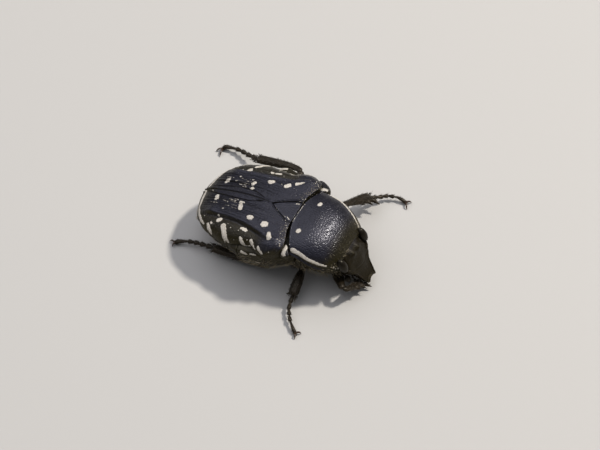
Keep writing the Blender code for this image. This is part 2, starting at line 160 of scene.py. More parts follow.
def moulded(name, around, along, surface, soften=0):
    """A closed skin: each point of a ball goes to surface(share along, angle around), in millimetres."""
    bm = bmesh.new()
    bmesh.ops.create_grid(bm, x_segments=around, y_segments=along, size=1.0)
    for vert in bm.verts:
        turn, fall = (vert.co.x + 1) * pi, (vert.co.y + 1) * pi / 2
        vert.co = (sin(fall) * cos(turn), sin(fall) * sin(turn), cos(fall))
    bmesh.ops.remove_doubles(bm, verts=bm.verts, dist=1e-5)
    ball = np.array([vert.co for vert in bm.verts])
    share = np.arccos(np.clip(ball[:, 2], -1, 1)) / pi
    angle = np.arctan2(ball[:, 1], ball[:, 0]) % (2 * pi)
    places = np.stack(np.broadcast_arrays(*surface(share, angle)), -1)
    for vert, place in zip(bm.verts, (places - MIDDLE) * MM):
        vert.co = place
    for _ in range(soften):
        bmesh.ops.smooth_vert(
            bm, verts=bm.verts, factor=0.5, use_axis_x=True, use_axis_y=True, use_axis_z=True
        )
    bmesh.ops.recalc_face_normals(bm, faces=bm.faces)
    if bm.calc_volume(signed=True) < 0:
        bmesh.ops.reverse_faces(bm, faces=bm.faces)
    piece = skinned(name, bm)
    unwrap[piece.name] = np.stack([angle / (2 * pi), share], -1)
    return piece


def raise_skin(piece, height):
    """Moves each point out along its normal by a height in millimetres."""
    places = points_of(piece) + normals_of(piece) * np.asarray(height)[:, None]
    piece.data.vertices.foreach_set("co", ((places - MIDDLE) * MM).ravel())
    piece.data.update()


def store(piece, name, values):
    """Keeps a number at each point, for the finish to read."""
    layer = piece.data.attributes.new(name, "FLOAT", "POINT")
    layer.data.foreach_set("value", np.asarray(values, np.float32))


def mark_white(piece, strokes=(), rise=0.0):
    """Stores how far, in millimetres, each point lies outside the white strokes, and raises the skin in them.

    A stroke runs over the skin from one (x, y, z, half width) to the next.
    """
    places = points_of(piece)
    edge = np.full(len(places), 1.0)
    for stroke in strokes:
        spots = [places[np.argmin(((places - spot[:3]) ** 2).sum(1))] for spot in stroke]
        halves = [spot[3] for spot in stroke]
        for a, b, wide_a, wide_b in zip(spots, spots[1:], halves, halves[1:]):
            run = b - a
            t = np.clip((places - a) @ run / max(run @ run, 1e-9), 0, 1)
            away = np.linalg.norm(places - a - t[:, None] * run, axis=1)
            edge = np.minimum(edge, away - wide_a - t * (wide_b - wide_a))
    store(piece, "white_edge", edge)
    if rise:
        raise_skin(piece, rise * fade(-edge, -0.02, 0.02))


def store_flank_reflection(piece, low=0.1, high=0.8, extra=0.0):
    """Stores how steep the skin is, 0 on the back and 1 on the sides, plus any extra: the share of painted
    reflection there, a browner tone with a warm tint and less coat.
    """
    steep = 1 - fade(normals_of(piece)[:, 2], low, high)
    store(piece, "flank_reflection", np.clip(steep + extra, 0, 1))


class Value:
    """The output of a shader node; adding, taking away and multiplying make Math nodes."""

    def __init__(self, nodes, socket):
        self.nodes, self.socket = nodes, socket

    def __add__(self, other):
        return self.nodes.reckon("ADD", self, other)

    def __sub__(self, other):
        return self.nodes.reckon("SUBTRACT", self, other)

    def __rsub__(self, other):
        return self.nodes.reckon("SUBTRACT", other, self)

    def __mul__(self, other):
        return self.nodes.reckon("MULTIPLY", self, other)


class Nodes:
    """Adds nodes to a shader tree; a pattern lies on the tree's coordinates, with a pitch in millimetres."""

    def __init__(self, tree, coordinates):
        self.tree = tree
        self.place = self.add("TexCoord", {}, coordinates)

    def feed(self, node, inputs):
        """Links values to a node's inputs, or sets them to plain numbers and colours."""
        for key, value in inputs.items():
            if isinstance(value, Value):
                self.tree.links.new(value.socket, node.inputs[key])
            else:
                node.inputs[key].default_value = (*value, 1.0) if isinstance(value, tuple) else value

    def add(self, kind, inputs, *outputs, **settings):
        """A new node's first output, or the named ones."""
        node = self.tree.nodes.new("ShaderNode" + kind)
        for setting, value in settings.items():
            setattr(node, setting, value)
        self.feed(node, inputs)
        found = [Value(self, node.outputs[key]) for key in outputs or (0,)]
        return found if len(found) > 1 else found[0]

    def shade(self, inputs):
        self.feed(self.tree.nodes["Principled BSDF"], inputs)

    def reckon(self, operation, *values):
        return self.add("Math", dict(enumerate(values)), operation=operation)

    def larger(self, first, second):
        return self.reckon("MAXIMUM", first, second)

    def ramp(self, value, low, high, start=0.0, end=1.0):
        """A smooth step of a value from start to end."""
        limits = dict(enumerate((value, low, high, start, end)))
        return self.add("MapRange", limits, interpolation_type="SMOOTHSTEP")

    def blend(self, share, first, second):
        """A colour between two colours."""
        return self.add("Mix", {0: share, 6: first, 7: second}, 2, data_type="RGBA")

    def attribute(self, name):
        return self.add("Attribute", {}, "Fac", attribute_name=name)

    def noise(self, pitch_mm, detail=2.0, roughness=0.5):
        """Noise with lumps about a pitch apart, from 0 to 1."""
        grain = {"Vector": self.place, "Scale": 1 / (pitch_mm * MM), "Detail": detail, "Roughness": roughness}
        return self.add("TexNoise", grain, "Fac")

    def cells(self, pitch_mm, scatter, *outputs):
        """What is known of scattered cells about a pitch apart, such as the distance from a cell's middle."""
        spread = {"Vector": self.place, "Scale": 1 / (pitch_mm * MM), "Randomness": scatter}
        return self.add("TexVoronoi", spread, *outputs)

    def pits(self, pitch_mm, inner=0.14, outer=0.36):
        """Small round pits: 1 at a pit's floor, 0 between pits."""
        return self.ramp(self.cells(pitch_mm, 0.85, "Distance"), inner, outer, 1.0, 0.0)

    def specks(self, pitch_mm, share):
        """Tiny round specks in a share of the cells: 1 on a speck."""
        distance, colour = self.cells(pitch_mm, 1.0, "Distance", "Color")
        draw = self.add("SeparateColor", {0: colour})
        return self.ramp(distance, 0.16, 0.26, 1.0, 0.0) * self.ramp(share - draw, 0.0, 0.04)

    def arcs(self, pitch_mm):
        """Small crescents open to the tail, as a blunt tool would press them: 1 on the line."""
        distance, middle = self.cells(pitch_mm, 0.75, "Distance", "Position")
        line = self.ramp(self.reckon("ABSOLUTE", distance - 0.28), 0.02, 0.12, 1.0, 0.0)
        offset = self.add("VectorMath", {0: self.place, 1: middle}, operation="SUBTRACT")
        behind = self.add("SeparateXYZ", {0: offset}, "Y")
        return line * self.ramp(behind, -0.05 * pitch_mm * MM, 0.1 * pitch_mm * MM, 1.0, 0.0)

    def comb(self, pitch_mm):
        """Fine lines from the head to the tail, wavering a little: 1 in a groove."""
        across = self.add("SeparateXYZ", {0: self.place}, "X") + self.noise(1.1) * (0.25 * MM)
        return self.ramp(self.reckon("SINE", across * (2 * pi / (pitch_mm * MM))), 0.35, 1.0)

    def bump(self, height, depth_mm):
        """The normal of a finish with a height of 0 to 1 pressed into it."""
        return self.add("Bump", {"Strength": 1.0, "Distance": depth_mm * MM, "Height": height})


def new_finish(name):
    """A material and its nodes, on the object's own coordinates."""
    paint = bpy.data.materials.new(name)
    paint.use_nodes = True
    return paint, Nodes(paint.node_tree, "Object")


def shell_finish(
    name, pitch_mm, depth_mm, crescents=0.0, gloss=0.3, ragged_mm=0.085, side=OLIVE_REFLECTION, index=1.345, glitter=0.2
):
    """Satin blue-black chitin with pits, and matt cream scales where the skin is marked white; steep skin
    takes a painted reflection: the side colour, a warm specular tint and a weaker coat.
    """
    paint, n = new_finish(name)
    edge = n.attribute("white_edge") + (n.noise(0.1, 3.0) - 0.5) * ragged_mm
    dust = n.attribute("dust")
    speck = n.larger(n.specks(0.15, dust), n.specks(0.07, dust) * 0.35)
    white = n.larger(n.ramp(edge, -0.014, 0.014, 1.0, 0.0), speck)
    flank_reflection = n.attribute("flank_reflection")
    tone = n.blend(n.ramp(n.noise(1.6, 3.0), 0.35, 0.7), INK, INK_CLOUD)
    # Painted reflection: the steep sides turn to the side colour.
    tone = n.blend(flank_reflection * 0.95, tone, side)
    fleck = n.ramp(n.noise(0.055, 3.0, 0.65), 0.4, 0.62)
    tone = n.blend((1.0 - fleck) * 0.85, tone, INK_FLECK)
    tone = n.blend(n.ramp(n.noise(0.075, 3.0, 0.65), 0.58, 0.74) * 0.28, tone, GREY_FLECK)
    scales = n.blend(n.ramp(n.noise(0.055, 3.0), 0.3, 0.72), CREAM_SHADE, CREAM)
    relief = n.pits(pitch_mm, 0.0, 0.6) * -1.0
    if crescents:
        relief = relief + n.arcs(pitch_mm * 2.1) * -crescents
        relief = relief + n.comb(0.115) * n.attribute("combed") * -3.2
    relief = relief + n.noise(0.05) * 0.55
    scale_relief = n.noise(0.028, 3.0) * (white * 2.4) + white * 1.2
    normal = n.bump(relief * (1.0 - white) + scale_relief, depth_mm)
    n.shade({
        "Base Color": n.blend(white, tone, scales),
        "Roughness": n.noise(0.35, 4.0) * 0.12 + gloss + flank_reflection * 0.08 + white * 0.4,
        "IOR": index,
        # Painted reflection: bluish specular tint on the back, warm on the sides.
        "Specular Tint": n.blend(flank_reflection, BACK_REFLECTION_TINT, FLANK_REFLECTION_TINT),
        # Painted reflection: less coat on steep skin, so the sides reflect less.
        "Coat Weight": n.ramp(flank_reflection, 0.0, 1.0, glitter, glitter * 0.35),
        "Coat Roughness": 0.17,
        "Normal": normal,
        "Coat Normal": normal,
    })
    return paint


def fit(piece, paint, slot, *nodes):
    """Gives a piece its finish, hangs it on the body and hides the solids that it stands for."""
    piece.data.materials.clear()
    piece.data.materials.append(paint)
    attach(piece, "root")
    if nodes:
        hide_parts(*nodes)


def plate(piece, paint, node, strokes=(), extra=0.0):
    """Marks a plate's blots, paints a browner, duller reflection on its sides and fits it."""
    mark_white(piece, strokes)
    store_flank_reflection(piece, extra=extra)
    fit(piece, paint, "shell", node)


pronotum_half = law((-3.12, 1.48), (-2.7, 1.8), (-2.2, 2.1), (-1.6, 2.28), (-1.0, 2.36), (-0.4, 2.34))
pronotum_margin = law((-3.12, 2.42), (-2.2, 2.76), (-1.6, 3.02), (-1.0, 3.22), (-0.4, 3.36))
pronotum_under = law((-3.12, 1.98), (-2.0, 2.35), (-1.0, 2.76), (-0.4, 2.9))
pronotum_top = law((-3.12, 3.08), (-2.5, 3.62), (-1.7, 4.02), (-0.9, 4.16), (0.2, 4.03))


def pronotum_back_edge(x):
    return PRONOTUM_BACK - PRONOTUM_HIND_CORNER * np.minimum(1.0, np.abs(x) / PRONOTUM_WIDTH) ** 2.2


def caps(share, front, back):
    """Turns a share of the rings into (share along the piece, how far the ring has opened)."""
    opening = np.minimum(1.0, share / front)
    if back:
        opening = np.minimum(opening, (1 - share) / back)
    return np.clip((share - front) / (1 - front - back), 0, 1), opening


def pronotum_surface(share, angle):
    along, opening = caps(share, PRONOTUM_CAP, PRONOTUM_CAP)
    across = opening * np.cos(angle)
    front = PRONOTUM_FRONT - 0.05 * across**2
    nominal = PRONOTUM_FRONT + (PRONOTUM_BACK - PRONOTUM_FRONT) * along
    x = pronotum_half(nominal) * across
    y = front + (pronotum_back_edge(x) - front) * along
    margin = pronotum_margin(y)
    dome = np.maximum(0.0, 1 - np.abs(np.cos(angle)) ** 2.6) ** 0.53
    over = margin + (pronotum_top(y) - margin) * dome * opening
    under = margin - (margin - pronotum_under(y)) * np.abs(np.sin(angle)) * opening
    return x, y, np.where(np.sin(angle) >= 0, over, under)


neck_shield = moulded("neck_shield", 256, 180, pronotum_surface, soften=6)
turn, share = unwrap["neck_shield"].T
up = np.sin(2 * pi * turn)
along, opening = caps(share, PRONOTUM_CAP, PRONOTUM_CAP)
side_rim = np.where(up > -0.05, hump(np.abs(up), 0.03, 0.05), 0.0) * fade(opening, 0.7, 1.0)
side_gutter = np.where(up > 0, hump(np.abs(up), 0.17, 0.06), 0.0) * fade(opening, 0.8, 1.0)
hind_rim = hump(along, 1.0, 0.014) * fade(opening, 0.4, 0.9)
front_rim = hump(along, 0.0, 0.016) * fade(opening, 0.4, 0.9)
raise_skin(neck_shield, 0.045 * side_rim - 0.03 * side_gutter + 0.035 * hind_rim + 0.012 * front_rim)
NECK_BLOTS = [
    [(1.02, -0.64, 4.08, 0.12), (1.11, -0.66, 4.07, 0.1)],
    [(-1.1, -0.42, 4.05, 0.12), (-1.15, -0.41, 4.05, 0.14)],
    [(2.28, -0.66, 3.74, 0.07), (2.2, -1.25, 3.62, 0.09), (2.02, -1.9, 3.46, 0.085),
     (1.76, -2.44, 3.24, 0.07), (1.42, -3.0, 2.9, 0.05)],
    [(-2.25, -0.6, 3.66, 0.15), (-2.22, -0.98, 3.58, 0.11), (-2.2, -1.6, 3.36, 0.09),
     (-2.08, -2.08, 3.12, 0.075), (-1.86, -2.52, 2.92, 0.035)],
    # a thin cream line along the hind rim, a painted highlight where the rim catches the light
    [(-0.66, 0.16, 3.98, 0.014), (0.52, 0.17, 4.0, 0.012)],
    [(-1.49, -3.12, 2.58, 0.045), (-1.46, -3.13, 2.61, 0.035)],
    [(-1.43, -3.06, 2.72, 0.03), (-1.42, -3.07, 2.72, 0.03)],
    [(-1.62, -2.88, 2.72, 0.032), (-1.6, -2.86, 2.74, 0.028)],
    [(-1.7, -2.74, 2.78, 0.026), (-1.66, -2.72, 2.8, 0.022)],
    [(-1.54, -2.98, 2.58, 0.028), (-1.54, -2.96, 2.6, 0.024)],
]
mark_white(neck_shield, NECK_BLOTS, BLOT_RISE)
x, y, z = points_of(neck_shield).T
# Painted reflection: the sides and the front slope towards the head take the olive-brown tone.
store_flank_reflection(neck_shield, 0.2, 0.8, 0.8 * fade(-y, 2.1, 2.9))
corner = fade(-y, 2.2, 2.9) * fade(np.abs(x), 0.7, 1.4)
hem = fade(y - pronotum_back_edge(x), -0.16, -0.02)
store(neck_shield, "dust", 0.07 * corner + 0.16 * hem)
pitted_shell = shell_finish("pitted_shell", 0.108, 0.0125, gloss=0.31, ragged_mm=0.12, glitter=0.26)
fit(neck_shield, pitted_shell, "shell", "pronotum")


# Wing cases
# Two hard covers that meet along the middle, flat above and steep at the side, cut in behind the
# shoulders. Each has low ribs and rows of small crescents, and its own cream blots of fine scales.

SKIN_GAP = 0.014
ELYTRON_BASE = 0.05
ELYTRON_APEX = 6.25
ELYTRON_ROUNDING_FROM = 4.4
SHOULDER_BUMP = (2.36, 0.7, 0.66, 0.15)
TAIL_BUMP = (1.5, 4.95, 0.45, 0.16)
LEFT_SHOULDER_EXTRA = 0.12
WALL_FROM, WALL_SHARE = 0.45, 0.1  # shares of the way around: the top, then the inner edge
CORNER_FROM, CORNER_SHARE = 0.965, 0.035  # shares of the length: the inner edge rounds off at the tail
SCUTELLUM_BASE = 0.3
SCUTELLUM_TIP = 1.76
SCUTELLUM_HALF = 0.78

elytron_half = law(
    (0.1, 2.92), (0.45, 3.12), (0.95, 3.08), (1.4, 2.95), (1.9, 2.78), (2.4, 2.85), (3.6, 2.96), (4.4, 2.72)
)
elytron_margin = law(
    (0.1, 3.12), (1.0, 3.2), (1.9, 3.08), (2.8, 2.8), (3.6, 2.66), (4.5, 2.54), (5.6, 2.4), (6.25, 2.28)
)
elytron_squareness = law((0.1, 6.0), (1.0, 5.0), (2.0, 3.4), (6.0, 3.0))
elytron_top = law(
    (0.1, 3.97), (1.74, 3.95), (3.0, 3.82), (4.0, 3.58), (5.0, 3.2), (5.7, 2.86), (6.25, 2.34)
)
base_edge = law(
    (0.7, 0.37), (1.3, 0.28), (1.8, 0.1), (2.2, 0.0), (2.5, 0.02), (2.8, 0.2), (3.02, 0.46)
)


def bulge(x, y, spec):
    """The height of a low bump, (x, y, reach, height), over a point."""
    at_x, at_y, reach, height = spec
    distance = ((x - at_x) ** 2 + (y - at_y) ** 2) / reach**2
    return np.where(distance < 6, height / (1 + distance) ** 2, 0.0)


def elytron_outer(y):
    """Half width of the two wing cases, closing in a blunt curve at the tail."""
    past = np.clip((y - ELYTRON_ROUNDING_FROM) / (ELYTRON_APEX - ELYTRON_ROUNDING_FROM), 0, 1)
    return elytron_half(np.minimum(y, ELYTRON_ROUNDING_FROM)) * np.sqrt(1 - past**1.6)


def back_height(x, y):
    """Height of the wing cases' dome over a point."""
    margin = elytron_margin(y)
    across = np.minimum(1.0, np.abs(x) / np.maximum(0.05, elytron_outer(y)))
    dome = np.sqrt(np.maximum(0.0, 1 - across ** elytron_squareness(y)))
    height = margin + (elytron_top(y) - margin) * dome
    return height + (bulge(np.abs(x), y, SHOULDER_BUMP) + bulge(np.abs(x), y, TAIL_BUMP)) * dome


def scutellum_half(y):
    past = (y - SCUTELLUM_BASE) / (SCUTELLUM_TIP - SCUTELLUM_BASE)
    return SCUTELLUM_HALF * np.clip(1 - np.maximum(0.0, past), 0, 1) ** 0.85


def wing_opening(y):
    """Half width of the gap that the wing cases leave for the scutellum."""
    base_shift = 0.27 * (1 - (y - 0.2) / ELYTRON_APEX) ** 3
    return scutellum_half(y - base_shift) + SKIN_GAP / 2


def wing_case_surface(side):
    def surface(share, angle):
        along, opening = caps(share, 0.05, 0)
        along = np.sin(along * pi / 2)
        y = ELYTRON_BASE + (ELYTRON_APEX - ELYTRON_BASE) * along
        outer = elytron_outer(y) + (LEFT_SHOULDER_EXTRA * hump(y, 0.55, 0.7) if side > 0 else 0.0)
        inner = scutellum_half(y) + SKIN_GAP / 2
        corner = np.clip((along - CORNER_FROM) / CORNER_SHARE, 0, 1)
        centre = np.maximum((outer + np.minimum(inner, 0.4)) / 2, inner + 0.02)
        outward = np.maximum(0.0, outer - centre)
        inward = (centre - inner) * np.sqrt(1 - corner**2)
        turn = angle / (2 * pi)
        wall_to = WALL_FROM + WALL_SHARE
        over, under = turn <= WALL_FROM, turn >= wall_to
        swing = np.where(under, -np.cos(pi * (turn - wall_to) / WALL_FROM), -1.0)
        swing = np.where(over, np.cos(pi * turn / WALL_FROM), swing)
        level = np.where(over, 1.0, np.where(under, 0.0, 1 - (turn - WALL_FROM) / WALL_SHARE))
        x = centre + np.where(swing > 0, outward, inward) * swing * opening
        bottom = elytron_margin(y)
        top = np.maximum(bottom, back_height(x, y))
        shift = (base_edge(x) - 0.1) * (1 - along) ** 3
        middle = (bottom + back_height(centre, y)) / 2
        height = bottom + (top - bottom) * level
        return side * x, y + shift, middle + (height - middle) * opening

    return surface


wing_shoulder_line = law(
    (0.3, 2.32), (1.1, 2.22), (1.73, 2.06), (2.38, 1.9), (2.99, 1.8), (3.76, 1.74), (5.3, 1.66)
)
wing_inner_groove = law((1.7, 0.04), (2.3, 0.1), (3.2, 0.38), (3.9, 0.41), (5.4, 0.27), (6.1, 0.18))


def ribs(x, y):
    """Height of the ribs and furrows that run along a wing case, in millimetres."""
    suture = 0.045 * hump(x, 0.1, 0.06) - 0.035 * hump(x, 0.0, 0.03)
    inner = -0.07 * hump(x, wing_inner_groove(y), 0.04) * fade(y, 1.8, 2.2)
    second = -0.055 * hump(x, 0.68, 0.035) * fade(y, 1.3, 1.9)
    rib = 0.045 * hump(x, 0.8, 0.05) * fade(y, 3.0, 3.6)
    fine = -0.026 * sum(hump(x, at, 0.024) for at in (0.53, 0.94, 1.08, 1.24))
    outer_rib = 0.03 * hump(x, 1.38, 0.09)
    lines = (inner + second + rib + fine + outer_rib) * band(y, 1.3, 2.5, 5.3, 6.0)
    shoulder = wing_shoulder_line(y)
    edge = 0.06 * hump(x, shoulder - 0.06, 0.12) - 0.095 * hump(x, shoulder + 0.19, 0.15)
    edge = edge * (1 - fade(y, 4.9, 5.7)) * fade(y, 0.35, 0.9)
    bump = 0.075 * hump(x, 2.5, 0.22) * hump(y, 0.85, 0.42)
    dent = 0.055 * hump(x, 2.1, 0.11) * hump(y, 1.15, 0.45)
    collar = 0.035 * hump(x, wing_opening(y) + 0.07, 0.04) * (1 - fade(y, 1.65, 1.9))
    return suture * fade(y, 1.8, 2.4) + lines + edge + (bump - dent) + collar


WING_BLOTS = {
    "right": [
        [(-0.53, 5.14, 3.14, 0.12), (-0.7, 5.07, 3.18, 0.13)],
        [(-0.63, 3.34, 3.76, 0.06), (-0.66, 3.52, 3.7, 0.1)],
        [(-0.86, 3.43, 3.75, 0.12), (-1.08, 3.36, 3.72, 0.12)],
        [(-2.02, 4.16, 3.33, 0.16), (-2.06, 4.2, 3.33, 0.15)],
        [(-1.81, 4.37, 3.33, 0.05), (-1.83, 4.34, 3.33, 0.05)],
        [(-2.37, 4.74, 2.93, 0.09), (-2.54, 4.56, 2.85, 0.13), (-2.71, 4.34, 2.74, 0.08)],
        [(-2.28, 4.58, 3.06, 0.06), (-2.3, 4.55, 3.05, 0.06)],
        [(-2.36, 3.74, 3.34, 0.17), (-2.54, 3.62, 3.26, 0.14)],
        [(-2.52, 3.63, 3.27, 0.15), (-2.78, 3.38, 3.0, 0.15)],
        [(-2.78, 3.38, 3.0, 0.11), (-2.88, 3.36, 2.86, 0.05)],
        [(-2.78, 3.34, 3.0, 0.11), (-2.88, 3.12, 2.86, 0.05)],
        [(-2.14, 2.67, 3.6, 0.08), (-2.16, 2.52, 3.6, 0.11)],
        [(-2.16, 2.5, 3.6, 0.12), (-2.18, 2.42, 3.6, 0.12)],
        [(-1.44, 2.57, 3.82, 0.14), (-1.4, 2.46, 3.84, 0.14)],
        [(-1.55, 1.55, 3.91, 0.2), (-1.53, 1.52, 3.93, 0.2)],
        [(-1.98, 1.02, 3.97, 0.1), (-2.26, 0.88, 3.96, 0.16)],
        [(-2.6, 2.5, 3.3, 0.09), (-2.73, 2.3, 3.16, 0.12)],
        [(-2.73, 2.3, 3.16, 0.11), (-2.76, 2.08, 3.02, 0.06)],
        [(-2.76, 2.16, 3.02, 0.03), (-2.74, 1.78, 3.2, 0.025)],
        [(-2.57, 1.82, 3.42, 0.1), (-2.69, 1.64, 3.36, 0.1)],
        [(-2.7, 1.64, 3.36, 0.06), (-2.9, 1.34, 3.34, 0.03)],
        [(-2.86, 1.22, 3.5, 0.09), (-3.0, 0.9, 3.37, 0.07)],
        [(-0.14, 6.08, 2.54, 0.1), (-0.46, 6.04, 2.58, 0.12), (-0.86, 5.96, 2.6, 0.09)],
        [(-0.86, 5.96, 2.6, 0.08), (-1.32, 5.84, 2.58, 0.09), (-1.8, 5.6, 2.6, 0.09)],
        [(-1.8, 5.6, 2.6, 0.08), (-2.14, 5.32, 2.68, 0.1), (-2.34, 5.02, 2.76, 0.06)],
        [(-0.12, 5.6, 2.92, 0.04), (-0.12, 5.58, 2.92, 0.04)],
        [(-1.34, 4.31, 3.44, 0.04), (-1.34, 4.29, 3.44, 0.04)],
    ],
    "left": [
        [(0.65, 5.15, 3.14, 0.12), (0.8, 5.07, 3.18, 0.12)],
        [(0.79, 3.5, 3.69, 0.1), (0.93, 3.48, 3.72, 0.12)],
        [(0.49, 3.42, 3.73, 0.1), (0.5, 3.39, 3.75, 0.1)],
        [(1.85, 4.46, 3.29, 0.12), (1.94, 4.3, 3.33, 0.12)],
        [(2.24, 4.04, 3.29, 0.12), (2.42, 3.83, 3.27, 0.15), (2.7, 3.52, 3.12, 0.11)],
        [(2.7, 3.52, 3.12, 0.08), (2.88, 3.22, 2.9, 0.04)],
        [(2.1, 2.97, 3.6, 0.07), (2.12, 2.9, 3.6, 0.07)],
        [(2.18, 2.74, 3.57, 0.05), (2.27, 2.46, 3.56, 0.06)],
        [(1.31, 2.67, 3.81, 0.14), (1.38, 2.54, 3.83, 0.13)],
        [(1.4, 1.68, 3.92, 0.13), (1.52, 1.57, 3.92, 0.14)],
        [(1.42, 1.98, 3.89, 0.035), (1.42, 1.96, 3.89, 0.035)],
        [(1.81, 1.22, 3.94, 0.13), (2.05, 0.93, 3.98, 0.05)],
        [(2.84, 2.76, 3.22, 0.09), (3.0, 2.5, 3.04, 0.07)],
        [(2.72, 2.06, 3.34, 0.06), (2.86, 1.8, 3.24, 0.08)],
        [(2.94, 1.62, 3.3, 0.05), (2.96, 1.28, 3.34, 0.06)],
        [(3.0, 1.16, 3.42, 0.06), (3.02, 0.84, 3.42, 0.05)],
        [(2.36, 4.98, 2.86, 0.08), (2.58, 4.7, 2.8, 0.06)],
        [(0.3, 6.08, 2.54, 0.09), (0.76, 6.0, 2.58, 0.12), (1.27, 5.82, 2.66, 0.12),
         (1.72, 5.56, 2.7, 0.07)],
        [(1.72, 5.56, 2.7, 0.05), (2.06, 5.3, 2.74, 0.03)],
        [(2.64, 2.72, 3.34, 0.04), (2.7, 2.38, 3.32, 0.035)],
        [(2.6, 1.94, 3.47, 0.03), (2.7, 1.45, 3.58, 0.03)],
        [(2.8, 1.22, 3.6, 0.035), (2.86, 0.86, 3.62, 0.03)],
        [(1.17, 4.53, 3.39, 0.045), (1.19, 4.5, 3.39, 0.045)],
    ],
}
WING_SCRATCHES = (  # (x, start y, end y)
    (0.66, 3.86, 4.18), (0.5, 3.78, 4.06), (0.6, 3.86, 4.34), (0.74, 3.74, 4.1), (0.8, 4.22, 4.62),
    (0.94, 3.66, 3.98), (1.0, 4.86, 5.26), (1.12, 3.58, 3.86), (1.06, 4.06, 4.4),
)
SCRATCH_HALF = 0.016


def scratch(side, across, start, end):
    """A thin white stroke along a wing case."""
    return [
        (side * across, y, back_height(across, y), half)
        for y, half in ((start, SCRATCH_HALF), (end, SCRATCH_HALF * 0.6))
    ]


wing_cases = {}
ribbed_shell = shell_finish("ribbed_shell", 0.095, 0.012, crescents=1.3, gloss=0.33, ragged_mm=0.13)
for name, side in SIDES:
    wing_case = wing_cases[side] = moulded(f"wing_case_{name}", 420, 220, wing_case_surface(side), soften=2)
    places = points_of(wing_case)
    x, y = places[:, 0] * side, places[:, 1]
    hollow = -0.05 * hump(x, 2.15, 0.3) * hump(y, 2.05, 0.75)
    raise_skin(wing_case, (ribs(x, y) + hollow) * fade(normals_of(wing_case)[:, 2], 0.15, 0.45))
    scratches = [scratch(side, *spots) for spots in WING_SCRATCHES]
    mark_white(wing_case, WING_BLOTS[name] + scratches, BLOT_RISE)
    outside = fade(x - wing_shoulder_line(y), 0.02, 0.3) * fade(y, 0.9, 1.7)
    tail = fade(y, 5.0, 6.0)
    # Painted reflection: the olive-brown tone on the sides, outside the shoulder line and towards the tail.
    store_flank_reflection(wing_case, 0.3, 0.85, 0.7 * outside + 0.5 * tail)
    base = 1 - fade(y - base_edge(x), 0.12, 0.5)
    base = 0.75 * base * fade(x, 0.6, 0.9) * (1 - 0.8 * fade(x, 2.3, 2.7))
    beside = (1 - fade(x - scutellum_half(y), 0.05, 0.3)) * (1 - fade(y, 1.2, 1.8))
    store(wing_case, "dust", base + 0.4 * beside + 0.14 * outside + 0.08 * tail)
    store(wing_case, "combed", band(x, 0.3, 0.5, 1.3, 1.6) * fade(y, 2.2, 3.2) * (1 - fade(y, 5.2, 5.8)))
    fit(wing_case, ribbed_shell, "shell", f"elytron_{name}")


# Scutellum
# The long triangular plate between the wing cases' bases, smooth in the middle and specked at its corners.

SCUTELLUM_HIDDEN = 0.34  # how far it runs on under the wing cases
SCUTELLUM_UNDERSIDE = 3.24


def scutellum_surface(share, angle):
    along, opening = caps(share, 0.1, 0)
    y = SCUTELLUM_BASE + (SCUTELLUM_TIP + SCUTELLUM_HIDDEN - SCUTELLUM_BASE) * along
    half = (scutellum_half(y - 0.1) + 0.14) * opening
    out = np.abs(np.cos(angle)) ** 0.5
    x = half * out * np.sign(np.cos(angle))
    groove = 0.085 * hump(np.abs(x), wing_opening(y) - 0.01, 0.045)
    top = back_height(x, y) - 0.02 - groove
    middle = (top + SCUTELLUM_UNDERSIDE) / 2
    thick = np.sign(np.sin(angle)) * np.sqrt(1 - out**30) * opening * (1 - along**12)
    return x, y, middle + (top - middle) * thick


SCUTELLUM_BLOTS = [
    [(0.62, 0.42, 3.9, 0.025), (0.56, 0.6, 3.9, 0.02)],
    [(-0.6, 0.44, 3.9, 0.03), (-0.52, 0.62, 3.9, 0.02)],
]
scutellum = moulded("scutellum_plate", 200, 110, scutellum_surface, soften=1)
x, y, z = points_of(scutellum).T
rim = fade(np.abs(x) / np.maximum(scutellum_half(y), 0.05), 0.6, 0.95)
store(scutellum, "dust", 0.55 * rim + 0.1 * (1 - fade(y, 0.4, 0.8)))
plate(scutellum, pitted_shell, "scutellum", SCUTELLUM_BLOTS)


# Shoulder plates
# A small upright plate wedged between the neck shield and each wing case, with a cream blot on top.

SEAM = 0.05
SHOULDER_INNER = 1.84
SHOULDER_SPECKS = 0.2
shoulder_top = law((1.86, 3.6), (2.35, 3.62), (2.66, 3.48), (2.95, 3.38), (3.2, 3.26))
shoulder_front = law(
    (1.84, -0.142), (2.1, -0.275), (2.36, -0.445), (2.56, -0.56), (2.8, -0.42), (3.0, -0.16), (3.2, 0.14)
)


def shoulder_surface(side, reach):
    def surface(share, angle):
        along = (1 - np.cos(pi * share)) / 2
        opening = np.sqrt(np.maximum(0.0, 1 - (2 * along - 1) ** 8))
        x = SHOULDER_INNER + reach * along
        front, back = shoulder_front(x), base_edge(x) - SEAM + 0.03
        y = (front + back) / 2 + (back - front) / 2 * signed_power(np.cos(angle), 0.7) * opening
        top, low = shoulder_top(x), 2.78 + 0.35 * along
        z = (top + low) / 2 + (top - low) / 2 * signed_power(np.sin(angle), 0.6) * opening
        return side * x, y, z

    return surface


for name, side, reach, blot in (
    ("left", 1, 1.32, [(2.4, -0.06, 3.62, 0.14), (2.46, -0.32, 3.58, 0.12)]),
    ("right", -1, 0.84, [(-2.18, -0.16, 3.62, 0.14), (-2.6, -0.2, 3.45, 0.12)]),
):
    shoulder = moulded(f"shoulder_plate_{name}", 72, 56, shoulder_surface(side, reach), soften=2)
    store(shoulder, "dust", np.full(len(shoulder.data.vertices), SHOULDER_SPECKS))
    plate(shoulder, pitted_shell, f"mesepimeron_{name}", [blot], extra=0.3)


# Breast, belly, throat and tail plate
# The hard plates of the underside: rings that lap one over the next to the tail, coarsely pitted and
# thinly haired, with a cream blot at the side of each ring.

